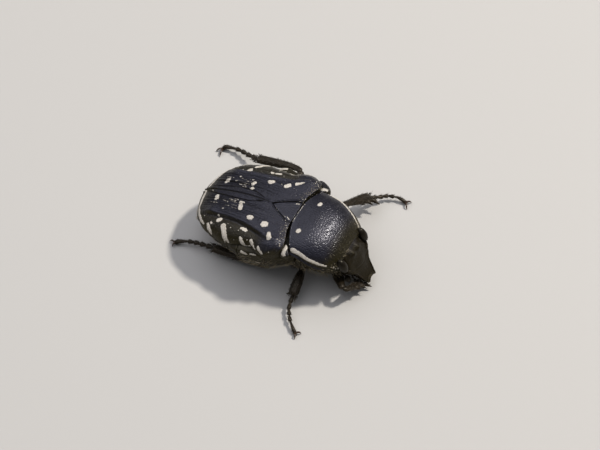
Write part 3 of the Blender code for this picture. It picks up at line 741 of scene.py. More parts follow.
THROAT_FRONT = -3.06
THORAX_FRONT = -0.62
THORAX_BACK = 2.24
ABDOMEN_BACK = 5.72
TAIL_END = 6.24
TAIL_HALF, TAIL_MIDDLE = 1.56, 1.72
UNDERSIDE_CAP = 0.06


def slant(y, z):
    """How far, in millimetres, a joint between two plates leans: forward at the neck, back at the waist."""
    level = z - 2.0
    return 0.3 * level * hump(y, 2.24, 1.1) - 0.22 * level * hump(y, -0.6, 0.9)


def block_surface(front, back, half, widest, top, belly, fuller=0.0):
    """A ring of the underside; the left side is fuller at the waist, where the photo shows it."""

    def surface(share, angle):
        along, opening = caps(share, UNDERSIDE_CAP, UNDERSIDE_CAP)
        y = front + (back - front) * along
        up = np.sin(angle)
        middle = widest(y)
        reach = np.where(up >= 0, top(y) - middle, middle - belly(y))
        power = np.where(up >= 0, 0.35, 0.9)
        x = half(y) * signed_power(np.cos(angle), 0.75) * opening
        x = x * np.where(x > 0, 1 + fuller * hump(y, 2.6, 0.9), 1.0)
        z = middle + reach * signed_power(up, power) * opening
        return x, y + slant(y, z), z

    return surface


belly_shell = shell_finish("belly_shell", 0.15, 0.011, gloss=0.38)

breast_skin = block_surface(
    THORAX_FRONT,
    THORAX_BACK,
    law((-0.62, 1.8), (-0.1, 2.38), (0.5, 2.8), (1.2, 3.06), (1.9, 3.18), (2.24, 3.2)),
    law((-0.62, 2.2), (0.6, 2.52), (1.6, 2.66), (2.24, 2.66)),
    law((-0.62, 3.1), (0.1, 3.18), (0.6, 3.24), (1.1, 3.26), (1.9, 3.12), (2.24, 3.04)),
    law((-0.62, 1.45), (0.28, 1.3), (0.52, 0.92), (1.4, 0.88), (2.24, 0.92)),
    0.075,
)
breast = moulded("breast", 220, 120, breast_skin, soften=4)
x, y, z = points_of(breast).T
under = fade(-normals_of(breast)[:, 2], 0.0, 0.5)
upright = (1 - under) * fade(y, 0.5, 0.7)
middle_line = -0.04 * hump(x, 0, 0.05) * under
cross_seam = -0.05 * hump(y, 0.5 + 0.1 * np.abs(x), 0.04)
side_seam = -0.05 * hump(z, 1.62 + 0.16 * (y - 0.6), 0.045) * upright
hind_seam = -0.04 * hump(z, 2.2 + 0.1 * (y - 0.6), 0.04) * upright
keel = 0.1 * hump(x, 0, 0.22) * hump(y, 0.25, 0.35) * under
raise_skin(breast, middle_line + cross_seam + side_seam + hind_seam + keel)
breast_blots = []
for side in (1, -1):
    breast_blots += [
        [(side * 3.3, 2.16, 2.86, 0.09), (side * 3.28, 1.84, 2.86, 0.07)],
        [(side * 3.08, 1.62, 2.9, 0.05), (side * 3.04, 1.32, 2.94, 0.04)],
        [(side * 2.94, 1.3, 2.3, 0.06), (side * 2.92, 1.1, 2.24, 0.04)],
        [(side * 2.6, 1.9, 1.5, 0.05), (side * 2.5, 1.7, 1.42, 0.05)],
    ]
plate(breast, belly_shell, "thorax_underside", breast_blots, extra=0.8)

belly_skin = block_surface(
    THORAX_BACK + 0.01,
    ABDOMEN_BACK,
    law((2.29, 3.19), (2.75, 3.06), (3.3, 2.74), (4.4, 2.36), (5.2, 1.92), (5.72, 1.56)),
    law((2.29, 2.6), (2.9, 2.42), (3.6, 2.16), (4.5, 1.98), (5.72, 1.75)),
    law((2.29, 3.02), (2.8, 2.86), (3.6, 2.72), (4.5, 2.6), (5.72, 2.42)),
    law((2.29, 1.34), (3.02, 1.34), (3.14, 0.96), (4.2, 0.94), (5.2, 1.02), (5.72, 1.14)),
    0.085,
)
belly = moulded("belly", 200, 150, belly_skin, soften=3)
BELLY_RINGS = (3.2, 3.72, 4.24, 4.76, 5.26, 5.8)
places = points_of(belly)
y = places[:, 1] - 0.1 * fade(places[:, 2], 1.2, 2.4)
steps = np.zeros(len(y))
belly_blots = [[(3.16, 2.98, 2.8, 0.08), (3.2, 2.58, 2.84, 0.09)]]
for start, end in zip(BELLY_RINGS, BELLY_RINGS[1:]):
    inside = (y >= start) & (y < end)
    steps = np.where(inside, 0.08 * np.clip((y - start) / (end - start), 0, 1) ** 0.7, steps)
    steps = steps - 0.06 * hump(y, start, 0.03)
    spot = (start + end) / 2
    near = places[np.abs(places[:, 1] - spot) < 0.05]
    for reach in (near[:, 0].max(), near[:, 0].min()):
        belly_blots += [
            [(0.97 * reach, spot - 0.02, 1.66, 0.1), (0.94 * reach, spot + 0.05, 1.6, 0.07)],
            [(0.55 * reach, spot, 1.1, 0.05), (0.5 * reach, spot, 1.08, 0.04)],
        ]
raise_skin(belly, steps * (1 - fade(normals_of(belly)[:, 2], 0.3, 0.8)))
plate(belly, belly_shell, "abdomen", belly_blots, extra=0.8)

throat_skin = block_surface(
    THROAT_FRONT,
    THORAX_FRONT + 0.06,
    law((-3.06, 1.22), (-2.2, 1.7), (-1.2, 1.98), (-0.68, 2.06)),
    law((-3.06, 1.75), (-1.8, 2.05), (-0.68, 2.35)),
    law((-3.06, 2.2), (-2.0, 2.66), (-1.0, 3.06), (-0.68, 3.16)),
    law((-3.06, 1.42), (-2.4, 1.34), (-1.3, 1.36), (-0.68, 1.5)),
)
throat = moulded("throat", 160, 90, throat_skin, soften=4)
plate(throat, belly_shell, "prosternum", extra=0.8)


def tail_surface(share, angle):
    along, opening = caps(share, 0.1, 0)
    start = ABDOMEN_BACK + SEAM
    y = start + (TAIL_END - start) * np.sin(along * pi / 2)
    closing = np.sqrt(np.maximum(0.0, 1 - np.clip((y - start) / (TAIL_END - start), 0, 1) ** 2.2)) * opening
    up = np.sin(angle)
    reach = np.where(up >= 0, 0.55, 0.62)
    x = TAIL_HALF * signed_power(np.cos(angle), 0.85) * closing
    return x, y, TAIL_MIDDLE + reach * signed_power(up, 0.75) * closing


tail_plate = moulded("tail_plate", 160, 90, tail_surface, soften=3)
tail_blots = [
    [(side * at, 6.2, height, 0.1), (side * (at + 0.12), 6.2, height, 0.08)]
    for side in (1, -1)
    for at, height in ((0.55, 1.95), (0.95, 1.62))
]
plate(tail_plate, belly_shell, "pygidium", tail_blots, extra=0.5)


# Head
# The face bends down and ends in a thin upturned shield with a notch; two low knobs stand on the crown.
# It is one moulded shell, finely pitted, with a ledge of chitin in front of each eye.

HEAD_BASE = np.array([0.0, -3.12, 3.0])
HEAD_TIP = np.array([0.0, -4.42, 0.56])
HEAD_LENGTH = np.linalg.norm(HEAD_TIP - HEAD_BASE)
HEAD_DOWN = (HEAD_TIP - HEAD_BASE) / HEAD_LENGTH
HEAD_OUT = np.array([0.0, HEAD_DOWN[2], -HEAD_DOWN[1]])
CLYPEUS_NOTCH = 0.13
HEAD_LEAN = 0.045  # sideways per millimetre down the face, as the beetle holds its head
# Painted reflection: the umber that a warm yellow surround throws on the face.
UMBER_REFLECTION = (0.0085, 0.0052, 0.0012)

head_half = law(
    (0.0, 1.0), (0.5, 1.1), (0.9, 1.15), (1.25, 1.13), (1.42, 1.03), (1.58, 0.86), (1.75, 0.75), (1.95, 0.69),
    (2.4, 0.55), (2.76, 0.42),
)
head_brow = law((0.0, 0.02), (0.5, 0.14), (1.3, 0.1), (2.1, 0.02), (2.6, 0.05), (2.76, 0.08))
head_chin = law((0.0, -1.2), (0.7, -1.15), (1.3, -0.92), (1.9, -0.56), (2.4, -0.28), (2.76, -0.14))


def head_point(across, down, out):
    """A point of the head: across to the left, down its axis, and out from the face."""
    down, out = np.asarray(down, float)[..., None], np.asarray(out, float)[..., None]
    place = HEAD_BASE + HEAD_DOWN * down + HEAD_OUT * out
    return place + (np.asarray(across, float)[..., None] + HEAD_LEAN * down) * np.array([1.0, 0.0, 0.0])


def head_path(side, *spots):
    """Points of the head, with the sideways part of each turned to one side."""
    return [head_point(side * across, down, out) for across, down, out in spots]


def head_surface(share, angle):
    along, opening = caps(share, 0.09, 0.05)
    across = signed_power(np.cos(angle), 0.8) * opening
    notch = CLYPEUS_NOTCH * np.maximum(0.0, 1 - (across / 0.75) ** 2) * fade(along, 0.8, 1.0)
    down = HEAD_LENGTH * along - notch
    up = np.sin(angle)
    brow, chin = head_brow(down), head_chin(down)
    middle = (brow + chin) / 2
    reach = np.where(up >= 0, brow - middle, middle - chin)
    power = np.where(up >= 0, 0.42 + 0.34 * (1 - fade(down, 0.3, 1.1)), 0.42 + 0.38 * fade(down, 1.5, 2.2))
    out = middle + reach * signed_power(up, power) * opening
    side_rim = hump(np.abs(across), 0.96, 0.1) * fade(down, 1.2, 1.6)
    front_rim = fade(along, 0.955, 0.995)
    out = out + np.where(up > 0, 0.095 * np.maximum(side_rim, front_rim) * fade(opening, 0.1, 0.9), 0.0)
    knob = 0.16 * hump(np.abs(head_half(down) * across), 0.29, 0.21) * hump(down, 0.38, 0.23)
    hollow = 0.05 * hump(np.abs(across), 0.55, 0.22) * hump(down, 1.25, 0.35)
    seam = 0.022 * hump(down, 1.52 - 0.3 * across**2, 0.06)
    seam = seam - 0.05 * hump(across, 0.0, 0.3) * hump(down, 1.25, 0.5)
    out = out + np.where(up > 0, (knob - hollow - seam) * fade(up, 0.0, 0.5), 0.0)
    return head_point(head_half(down) * across, down, out).T


def through(points):
    """A smooth curve through points: (the place at a share of its length, its length)."""
    points = np.array([np.asarray(point, float) for point in points])
    marks = np.concatenate([[0.0], np.cumsum(np.linalg.norm(np.diff(points, axis=0), axis=1))])
    axes = [law(*zip(marks / marks[-1], points[:, k])) for k in range(3)]
    return lambda at: np.stack([axis(at) for axis in axes], -1), marks[-1]


def tube(name, path, radii, around=24, along=32, flat=1.0, flat_axis=(0.0, 0.0, 1.0), swell=None):
    """A round or flattened limb along a path; radii is a law over its length, swell adds to it by angle."""
    spot, length = through(path)
    radius = law(*radii)

    def surface(share, angle):
        at = (1 - np.cos(pi * share)) / 2
        end = np.minimum(at, 1 - at) * length / np.maximum(radius(at), 0.008)
        opening = np.sqrt(np.maximum(0.0, 1 - (1 - np.minimum(1.0, end)) ** 2))
        heading = spot(np.minimum(1.0, at + 0.02)) - spot(np.maximum(0.0, at - 0.02))
        heading /= np.linalg.norm(heading, axis=1)[:, None]
        wide = np.cross(heading, np.array(flat_axis))
        wide /= np.linalg.norm(wide, axis=1)[:, None]
        thin = np.cross(wide, heading)
        size = radius(at) * opening
        if swell:
            size = size * (1 + swell(at, angle))
        across = wide * (np.cos(angle) * size)[:, None] + thin * (np.sin(angle) * size * flat)[:, None]
        return (spot(at) + across).T

    return moulded(name, around, along, surface)


def gather(name, parts):
    """Joins parts into one piece and keeps their flattened skins side by side."""
    bm = bmesh.new()
    skins = []
    for k, part in enumerate(parts):
        bm.from_mesh(part.data)
        skins.append((unwrap[part.name] + (k, 0)) / (len(parts), 1))
        bpy.data.objects.remove(part)
    piece = skinned(name, bm)
    unwrap[piece.name] = np.concatenate(skins)
    return piece


face = moulded("face", 200, 180, head_surface, soften=2)
mark_white(face)
# Painted reflection: nearly all the face takes the umber tone, less on the crown.
store_flank_reflection(face, extra=0.9 - 0.45 * fade(points_of(face)[:, 2], 2.8, 3.0))
parts = [face]
for side in (1, -1):  # the cheek's rim that runs out in front of each eye
    path = head_path(side, (0.84, 1.26, -0.06), (1.06, 1.06, -0.08), (1.2, 0.74, -0.12))
    ledge = tube(f"ledge_{side}", path, [(0, 0.17), (0.6, 0.13), (1, 0.08)], flat=0.7, flat_axis=HEAD_DOWN)
    mark_white(ledge)
    # Painted reflection: the ledge takes the umber tone all over.
    store_flank_reflection(ledge, extra=0.9)
    parts.append(ledge)
head = gather("face_with_ledges", parts)
# Its side colour is the painted umber reflection.
head_shell = shell_finish("head_shell", 0.085, 0.011, gloss=0.4, side=UMBER_REFLECTION, index=1.3, glitter=0.0)
fit(head, head_shell, "shell", "head")


# Eyes
# A long, flat, dark lens of very many tiny facets at each side of the head, half hidden by the ledge.

EYE_AT = (1.24, -3.27, 2.62)
EYE_HALF_ACROSS = np.array([0.26, 0.0, 0.0])
EYE_HALF_OUT = HEAD_OUT * 0.28
EYE_HALF_DOWN = HEAD_DOWN * 0.5

eye_gloss, n = new_finish("eye_lenses")
n.shade({
    "Base Color": n.blend(n.noise(0.3), (0.005, 0.0042, 0.0032), (0.0095, 0.007, 0.0042)),
    "Roughness": n.ramp(n.noise(0.2, 3.0), 0.2, 0.8, 0.26, 0.36),
    "IOR": 1.3,
    "Specular Tint": (1.0, 0.92, 0.72),
    "Normal": n.bump(n.pits(0.028, 0.1, 0.55), 0.0016),
})


def eye_surface(side):
    def surface(share, angle):
        ring = np.sin(pi * share)[:, None]
        across = EYE_HALF_ACROSS * np.cos(angle)[:, None] * ring
        out = EYE_HALF_OUT * np.sin(angle)[:, None] * ring
        down = EYE_HALF_DOWN * np.cos(pi * share)[:, None]
        return (np.array([side * EYE_AT[0], *EYE_AT[1:]]) + across + out + down).T

    return surface


for name, side in SIDES:
    eye = moulded(f"eye_{name}_lenses", 48, 32, eye_surface(side))
    fit(eye, eye_gloss, "eye", f"eye_{name}")


# Feelers and mouth
# Each feeler has a thick first joint, small beads and a club of three leaves, folded against the cheek.
# Behind the shield's edge lie the upper lip, two jaw lobes and four short jointed palps.

BEADS = 6
SCAPE_RADII = [(0, 0.07), (0.7, 0.13), (1, 0.1)]
BEAD_RADII = [(0, 0.06), (0.5, 0.085), (1, 0.06)]
LEAF_RADII = [(0, 0.06), (0.35, 0.18), (0.8, 0.18), (1, 0.1)]
PALP_RADII = [(0, 0.045), (0.7, 0.075), (1, 0.05)]
LIP_RADII = [(0, 0.1), (0.5, 0.15), (1, 0.1)]
CHIN_RADII = [(0, 0.3), (0.7, 0.34), (1, 0.22)]
LOBE_RADII = [(0, 0.12), (0.5, 0.16), (1, 0.07)]
LIP = ((-0.42, 2.28, -0.3), (0, 2.36, -0.3), (0.42, 2.28, -0.3))
CHIN = ((0, 1.55, -0.86), (0, 2.05, -0.62))
LOBE = ((0.38, 1.7, -0.7), (0.34, 2.2, -0.46), (0.2, 2.48, -0.36))
OUTER_PALP = ((0.48, 1.8, -0.62), (0.66, 2.1, -0.58), (0.6, 2.46, -0.52))
INNER_PALP = ((0.16, 1.98, -0.68), (0.22, 2.24, -0.66), (0.18, 2.46, -0.62))

leg_shell, n = new_finish("leg_shell")
brown = n.ramp(n.noise(0.25, 4.0), 0.3, 0.75)
n.shade({
    "Base Color": n.blend(brown, (0.0058, 0.0042, 0.0024), (0.0135, 0.0086, 0.0038)),
    "Roughness": n.ramp(n.noise(0.12, 3.0), 0.2, 0.8, 0.26, 0.44),
    "IOR": 1.38,
    "Specular Tint": (1.0, 0.88, 0.7),
    "Normal": n.bump(n.pits(0.085) * -1.0 + n.noise(0.05, 3.0) * 0.6, 0.01),
})

amber, n = new_finish("amber_shell")
n.shade({
    "Base Color": n.blend(n.noise(0.2, 3.0), (0.02, 0.01, 0.005), (0.055, 0.026, 0.01)),
    "Roughness": n.ramp(n.noise(0.1), 0.2, 0.8, 0.22, 0.36),
    "IOR": 1.56,
    "Normal": n.bump(n.noise(0.06, 3.0), 0.004),
})

for name, side in SIDES:
    root, elbow, club = head_path(side, (0.86, 1.0, -0.62), (1.0, 1.34, -0.68), (0.98, 1.6, -0.62))
    parts = [tube(f"scape_{name}", [root, elbow], SCAPE_RADII)]
    for k in range(BEADS):
        at = elbow + (club - elbow) * (k + 0.5) / BEADS
        reach = (club - elbow) / BEADS
        parts.append(tube(f"bead_{name}_{k}", [at - reach * 0.7, at + reach * 0.7], BEAD_RADII, 16, 12))
    for k, spread in enumerate((-0.1, 0.0, 0.1)):
        tip = head_point(side * (0.98 + 0.5 * spread), 2.06, -0.62 + spread)
        middle = (club + tip) / 2 + HEAD_OUT * spread * 0.4
        parts.append(tube(f"leaf_{name}_{k}", [club, middle, tip], LEAF_RADII, flat=0.32, flat_axis=HEAD_OUT))
    fit(gather(f"feeler_{name}", parts), leg_shell, "leg", f"antenna_{name}")

parts = [
    tube("lip", head_path(1, *LIP), LIP_RADII, flat=0.6, flat_axis=HEAD_OUT),
    tube("chin", head_path(1, *CHIN), CHIN_RADII, flat=0.6, flat_axis=HEAD_OUT),
]
for side in (1, -1):
    parts.append(tube(f"lobe_{side}", head_path(side, *LOBE), LOBE_RADII, flat=0.7, flat_axis=HEAD_OUT))
    for k, palp in enumerate((OUTER_PALP, INNER_PALP)):
        start, bend, end = head_path(side, *palp)
        first, last = bend - start, end - bend
        joints = (
            (start, start + first * 0.75),
            (start + first / 1.5, bend + last * 0.28),
            (bend + last * 0.25, end),
        )
        for j, ends in enumerate(joints):
            parts.append(tube(f"palp_{side}_{k}_{j}", ends, PALP_RADII, 16, 14))
fit(gather("mouth", parts), leg_shell, "leg", "mouthparts")


# Legs
# Each leg has a hip, a spindle-shaped thigh, a shin with teeth and two spurs, a foot of five clubbed joints
# and two curved claws. The places follow the photo; the lengths it hides follow the species.

LEGS = {
    "front_left": {
        "coxa": [(0.4, -2.02, 0.98), (1.05, -1.72, 1.04)],
        "thigh": [(1.28, -1.72, 1.0), (2.95, -1.1, 1.86)],
        "shin": [(3.12, -1.06, 1.88), (5.05, -1.95, 0.8)],
        "foot": [(5.42, -2.28, 0.52), (5.88, -2.7, 0.36), (6.11, -3.38, 0.3)],
        "claws": [(5.64, -4.02, 0.08), (6.08, -3.78, 0.14), (6.36, -4.06, 0.08)],
        "radii": (0.34, 0.32),
        "teeth": ((0.55, 0.22), (0.76, 0.34), (0.95, 0.44)),
        "teeth_side": 1,
    },
    "front_right": {
        "coxa": [(-0.36, -1.92, 0.98), (-1.0, -1.66, 1.04)],
        "thigh": [(-0.42, -2.4, 0.86), (-1.66, -3.46, 1.26)],
        "shin": [(-1.84, -3.66, 1.3), (-0.22, -4.05, 0.36)],
        "foot": [(0.1, -3.86, 0.32), (0.62, -3.5, 0.28), (0.95, -3.0, 0.28)],
        "claws": [(1.3, -2.62, 0.08), (1.08, -2.74, 0.14), (0.92, -2.42, 0.08)],
        "radii": (0.32, 0.27),
        "teeth": ((0.5, 0.26), (0.72, 0.34), (0.94, 0.42)),
        "teeth_side": 1,
    },
    "middle_left": {
        "coxa": [(0.4, 0.12, 1.0), (1.12, -0.05, 1.02)],
        "thigh": [(1.35, 0.18, 0.72), (2.78, 0.42, 1.16)],
        "shin": [(2.94, 0.48, 1.14), (3.98, 0.98, 0.62)],
        "foot": [(4.3, 1.18, 0.42), (4.66, 1.55, 0.32), (4.8, 2.1, 0.28)],
        "claws": [(4.62, 2.66, 0.08), (4.82, 2.42, 0.14), (5.12, 2.64, 0.08)],
        "radii": (0.32, 0.26),
        "teeth": ((0.58, 0.18), (0.93, 0.2)),
        "teeth_side": -1,
    },
    "middle_right": {
        "coxa": [(-0.4, 0.12, 1.0), (-1.12, -0.02, 1.02)],
        "thigh": [(-0.8, 0.56, 0.44), (-1.3, -0.72, 0.92)],
        "shin": [(-1.52, -0.94, 1.12), (-3.12, -1.08, 0.62)],
        "foot": [(-3.64, -1.16, 0.42), (-4.38, -1.55, 0.32), (-4.86, -2.02, 0.28)],
        "claws": [(-4.78, -2.58, 0.08), (-5.06, -2.3, 0.14), (-5.42, -2.4, 0.08)],
        "radii": (0.3, 0.27),
        "teeth": ((0.6, 0.18), (0.93, 0.2)),
        "teeth_side": 1,
    },
    "hind_left": {
        "coxa": [(0.34, 2.66, 1.06), (1.55, 2.62, 1.08)],
        "thigh": [(1.45, 2.62, 0.52), (4.06, 2.12, 1.8)],
        "shin": [(4.22, 2.2, 1.84), (4.44, 5.22, 0.86)],
        "foot": [(4.64, 5.78, 0.52), (4.85, 6.82, 0.34), (4.78, 7.42, 0.3)],
        "claws": [(3.96, 7.5, 0.08), (4.61, 7.66, 0.14), (4.28, 7.96, 0.08)],
        "radii": (0.34, 0.28),
        "teeth": ((0.55, 0.18), (0.95, 0.2)),
        "teeth_side": 1,
    },
    "hind_right": {
        "coxa": [(-0.34, 2.66, 1.06), (-1.55, 2.62, 1.08)],
        "thigh": [(-0.98, 3.05, 0.5), (-1.92, 1.2, 0.62)],
        "shin": [(-2.22, 1.08, 1.06), (-2.24, 4.55, 0.62)],
        "foot": [(-2.23, 5.15, 0.44), (-2.33, 6.08, 0.32), (-2.54, 6.62, 0.28)],
        "claws": [(-2.99, 6.86, 0.08), (-2.66, 6.86, 0.14), (-2.6, 7.22, 0.08)],
        "radii": (0.32, 0.27),
        "teeth": ((0.55, 0.18), (0.95, 0.2)),
        "teeth_side": -1,
    },
}
LEG_PARTS = ("coxa", "thigh", "shin", "foot", "claws")
FOOT_JOINTS = (0.0, 0.2, 0.37, 0.52, 0.67, 1.0)
FOOT_HALF = {"front": 0.125, "middle": 0.12, "hind": 0.15}
FOOT_ARCH = np.array([0, 0, 0.07])
UP = np.array([0.0, 0.0, 1.0])
CROWN_SPINES = 7
HIP_RADII = [(0, 0.2), (0.5, 0.3), (1, 0.22)]
HOOK_RADII = [(0, 0.06), (0.35, 0.056), (0.75, 0.036), (1, 0.008)]
PAD_RADII = [(0, 0.05), (0.6, 0.045), (1, 0.02)]


def scaled(half, *shares):
    """The stations of a limb's law, each value a share of one half width."""
    return [(at, half * share) for at, share in shares]


def spike(name, root, tip, half):
    """A tooth or spur: a cone with a rounded foot that ends in a point."""
    return tube(name, [root, tip], scaled(half, (0, 1), (0.35, 0.8), (0.8, 0.32), (1, 0.06)), 12, 14)


def ridges(at, angle):
    """The six low ridges along a shin."""
    return 0.07 * np.cos(6 * angle) * fade(at, 0.1, 0.3) * (1 - fade(at, 0.9, 0.98))


leg_pieces = {}
for name, plan in LEGS.items():
    is_front = name.startswith("front")
    hips, thigh, shin, foot, claws = (np.array(plan[key]) for key in LEG_PARTS)
    thigh_half, shin_half = plan["radii"]
    knee = (thigh[1] + shin[0]) / 2
    near = hips[np.argmin(np.linalg.norm(hips - thigh[0], axis=1))]
    fit(tube(f"hip_{name}", hips, HIP_RADII, 32, 32, flat=0.85), leg_shell, "leg", f"coxa_{name}")

    quarter = thigh[0] * 0.72 + thigh[1] * 0.28
    middle = (thigh[0] + thigh[1]) / 2 + UP * 0.04
    path = [near, quarter, middle, thigh[1], knee + (knee - thigh[1]) * 0.3]
    radii = [(0, 0.17), (0.12, 0.2), *scaled(thigh_half, (0.32, 0.94), (0.55, 1), (0.86, 0.68), (1, 0.62))]
    femur = tube(f"thigh_{name}", path, radii, 40, 56, flat=0.74)
    fit(femur, leg_shell, "leg", f"femur_{name}")

    reach = np.linalg.norm(shin[1] - shin[0])
    heading = (shin[1] - shin[0]) / reach
    teeth_up = (0, 0, plan["teeth_side"])
    side = np.cross(heading, teeth_up)
    side /= np.linalg.norm(side)
    above = np.cross(side, heading) * plan["teeth_side"]
    broad = 1.12 if is_front else 1.06
    calf = 0.72 if is_front else 0.9
    radii = scaled(shin_half, (0, 0.66), (0.08, 0.64), (0.3, calf), (0.8, broad), (0.95, broad), (1, 0.72))
    path = [knee - heading * 0.02, shin[0] + heading * 0.35 + side * 0.05, shin[1]]
    parts = [tube(f"shaft_{name}", path, radii, 48, 72, flat=0.66, flat_axis=teeth_up, swell=ridges)]
    for k, (at, high) in enumerate(plan["teeth"]):
        root = shin[0] + heading * reach * at + side * shin_half * 0.45
        tip = root + side * (high + shin_half * 0.35) + heading * high * 0.55
        parts.append(spike(f"tooth_{name}_{k}", root, tip, 0.15 if is_front else 0.09))
    for k, (out, over) in enumerate(((-0.75, 0.25), (-0.35, -0.55))):
        root = shin[1] - heading * 0.1 - side * shin_half * 0.4
        tip = root + heading * (0.42 - 0.08 * k) + side * out * 0.22 + above * over * 0.25
        parts.append(spike(f"spur_{name}_{k}", root, tip, 0.048))
    for k in range(CROWN_SPINES):
        turn = 2 * pi * (k + 0.4) / CROWN_SPINES
        off = side * cos(turn) * shin_half * broad * 0.85 + above * sin(turn) * shin_half * 0.55
        root = shin[1] - heading * 0.09 + off
        parts.append(spike(f"crown_{name}_{k}", root, root + heading * 0.17 + off * 0.35, 0.035))
    tibia = gather(f"shin_{name}", parts)
    fit(tibia, leg_shell, "leg", f"tibia_{name}")

    way, _ = through([shin[1] - heading * 0.08, *foot, claws[1] + (foot[-1] - claws[1]) * 0.1])

    def foot_spot(at):
        return way(at) - FOOT_ARCH * fade(at, 0.1, 0.9) + FOOT_ARCH * sin(pi * at)

    parts = []
    for k, (low, high) in enumerate(zip(FOOT_JOINTS, FOOT_JOINTS[1:])):
        path = [foot_spot(at) for at in np.linspace(low, min(1.0, high + 0.015), 4)]
        half = FOOT_HALF[name.split("_")[0]] * (0.85 if k == 4 else 1.04 - 0.04 * k)
        radii = scaled(half, (0, 0.56), (0.15, 0.64), (0.8, 1.08), (0.93, 1.02), (1, 0.8))
        parts.append(tube(f"joint_{name}_{k}", path, radii, 24, 24, flat=0.9))
    tarsus = gather(f"foot_{name}", parts)
    fit(tarsus, leg_shell, "leg", f"tarsus_{name}")

    end = foot_spot(0.985)
    ahead = foot_spot(1.0) - foot_spot(0.93)
    ahead /= np.linalg.norm(ahead)
    parts = []
    for k in (0, 2):
        tip = end + (claws[k] - end) * 0.82
        tip[2] = 0.02
        away = tip - end
        away[2] = 0
        path = [end, end + away * 0.25 + UP * 0.08, end + away * 0.55 + UP * 0.1, end + away * 0.86, tip]
        parts.append(tube(f"hook_{name}_{k}", path, HOOK_RADII, 16, 28))
    parts.append(tube(f"pad_{name}", [end, end + ahead * 0.12 - UP * 0.05], PAD_RADII, 12, 12))
    fit(gather(f"claw_pair_{name}", parts), amber, "claw", f"claws_{name}")
    leg_pieces[name] = (femur, tibia, tarsus, heading)


# Hair
# Short stiff bristles on the legs and soft straw-coloured hair on the breast, the throat, the neck shield's
# edge, the wing cases' bases and the tail. Each hair is a thin bent cone with its root in the skin.

HAIR_PATCH = 0.003  # the width of a hair's place on the flattened skin
HAIR_SPOTS = np.array([(0, 0), (0.5, 0), (1, 0), (0, 0.6), (0.5, 0.6), (1, 0.6), (0.5, 1)]) * HAIR_PATCH
HAIR_FACES = ((0, 1, 4, 3), (1, 2, 5, 4), (2, 0, 3, 5), (3, 4, 6), (4, 5, 6), (5, 3, 6), (0, 2, 1))


def skin_area(mesh):
    """The area of skin around each point, so that hairs can be strewn evenly."""
    areas = np.empty(len(mesh.polygons))
    corners = np.empty(len(mesh.polygons), np.int32)
    points = np.empty(len(mesh.loops), np.int32)
    mesh.polygons.foreach_get("area", areas)
    mesh.polygons.foreach_get("loop_total", corners)
    mesh.loops.foreach_get("vertex_index", points)
    return np.bincount(points, np.repeat(areas / corners, corners), len(mesh.vertices))


def unit(vectors):
    return vectors / np.maximum(np.linalg.norm(vectors, axis=-1), 1e-9)[..., None]


def coat(name, patches, paint, seed):
    """One piece of many hairs; a patch is (skin, count, where, length, half width, lean, rise)."""
    dice = np.random.default_rng(seed)
    corners, faces, flats = [], [], []
    total = 0
    for k, (skin, count, where, length, half, lean, rise) in enumerate(patches):
        places, normals = points_of(skin), normals_of(skin)
        chance = skin_area(skin.data) * np.clip(where(places.T, normals.T), 0, 1)
        picked = dice.choice(len(places), count, p=chance / chance.sum())
        normal = normals[picked]
        jitter = np.cross(normal, unit(dice.normal(size=(count, 3)))) * 0.02
        root = places[picked] + jitter - normal * 0.015
        flow = unit(np.array(lean, float) + dice.normal(size=(count, 3)) * 0.22)
        flow = unit(flow - normal * (flow * normal).sum(1)[:, None] * 0.8)
        start = unit(normal * rise + flow * (1 - rise))
        end = unit(start + flow * 0.9)
        reach = dice.uniform(*length, count)[:, None]
        thick = half * dice.uniform(0.8, 1.2, count)[:, None]
        across = unit(np.cross(start, dice.normal(size=(count, 3))))
        along = np.cross(start, across)
        rings = []
        for height, width in ((0.0, 1.0), (0.5, 0.72)):
            middle = root + start * reach * height + (end - start) * reach * height**2 * 0.5
            for turn in (0, 2 * pi / 3, 4 * pi / 3):
                rings.append(middle + (across * cos(turn) + along * sin(turn)) * thick * width)
        rings.append(root + start * reach * 0.5 + end * reach * 0.5)
        corners.append(np.stack(rings, 1).reshape(-1, 3))
        base = total + np.arange(count)[:, None] * len(rings)
        for face in HAIR_FACES:
            faces += (base + np.array(face)).tolist()
        flat = unwrap[skin.name][picked] * 0.98 + 0.008
        flat[:, 0] = (k + flat[:, 0]) / len(patches)
        flats.append((flat[:, None] + HAIR_SPOTS).reshape(-1, 2))
        total += count * len(rings)
    mesh = bpy.data.meshes.new(name)
    mesh.from_pydata(((np.concatenate(corners) - MIDDLE) * MM).tolist(), [], faces)
    layer = mesh.uv_layers.new(name="OFBake")
    loops = np.empty(len(mesh.loops), np.int32)
    mesh.loops.foreach_get("vertex_index", loops)
    layer.data.foreach_set("uv", np.concatenate(flats)[loops].ravel())
    mesh.shade_smooth()
    fit(show(name, mesh), paint, "shell")


def hair_finish(name, dark, light):
    paint, n = new_finish(name)
    n.shade({"Base Color": n.blend(n.noise(0.4), dark, light), "Roughness": 0.45})
    return paint


straw = hair_finish("straw_hair", (0.2, 0.155, 0.09), (0.46, 0.39, 0.26))
dusk = hair_finish("dusky_bristles", (0.018, 0.013, 0.008), (0.085, 0.066, 0.042))


def everywhere(p, n):
    return 1.0


for seed, (name, (femur, tibia, tarsus, heading)) in enumerate(leg_pieces.items()):
    bristles = [
        (femur, 160, everywhere, (0.1, 0.2), 0.008, heading, 0.38),
        (tibia, 330, everywhere, (0.1, 0.24), 0.01, heading, 0.36),
        (tarsus, 260, everywhere, (0.08, 0.18), 0.008, heading, 0.4),
    ]
    coat(f"bristles_{name}", bristles, dusk, SEED + seed)


# For a patch, p and n hold the rows of its points and normals, across, along the body and up.


def breast_flank(p, n):
    return fade(-n[2], -0.2, 0.35) * fade(np.abs(p[0]), 0.6, 2.0)


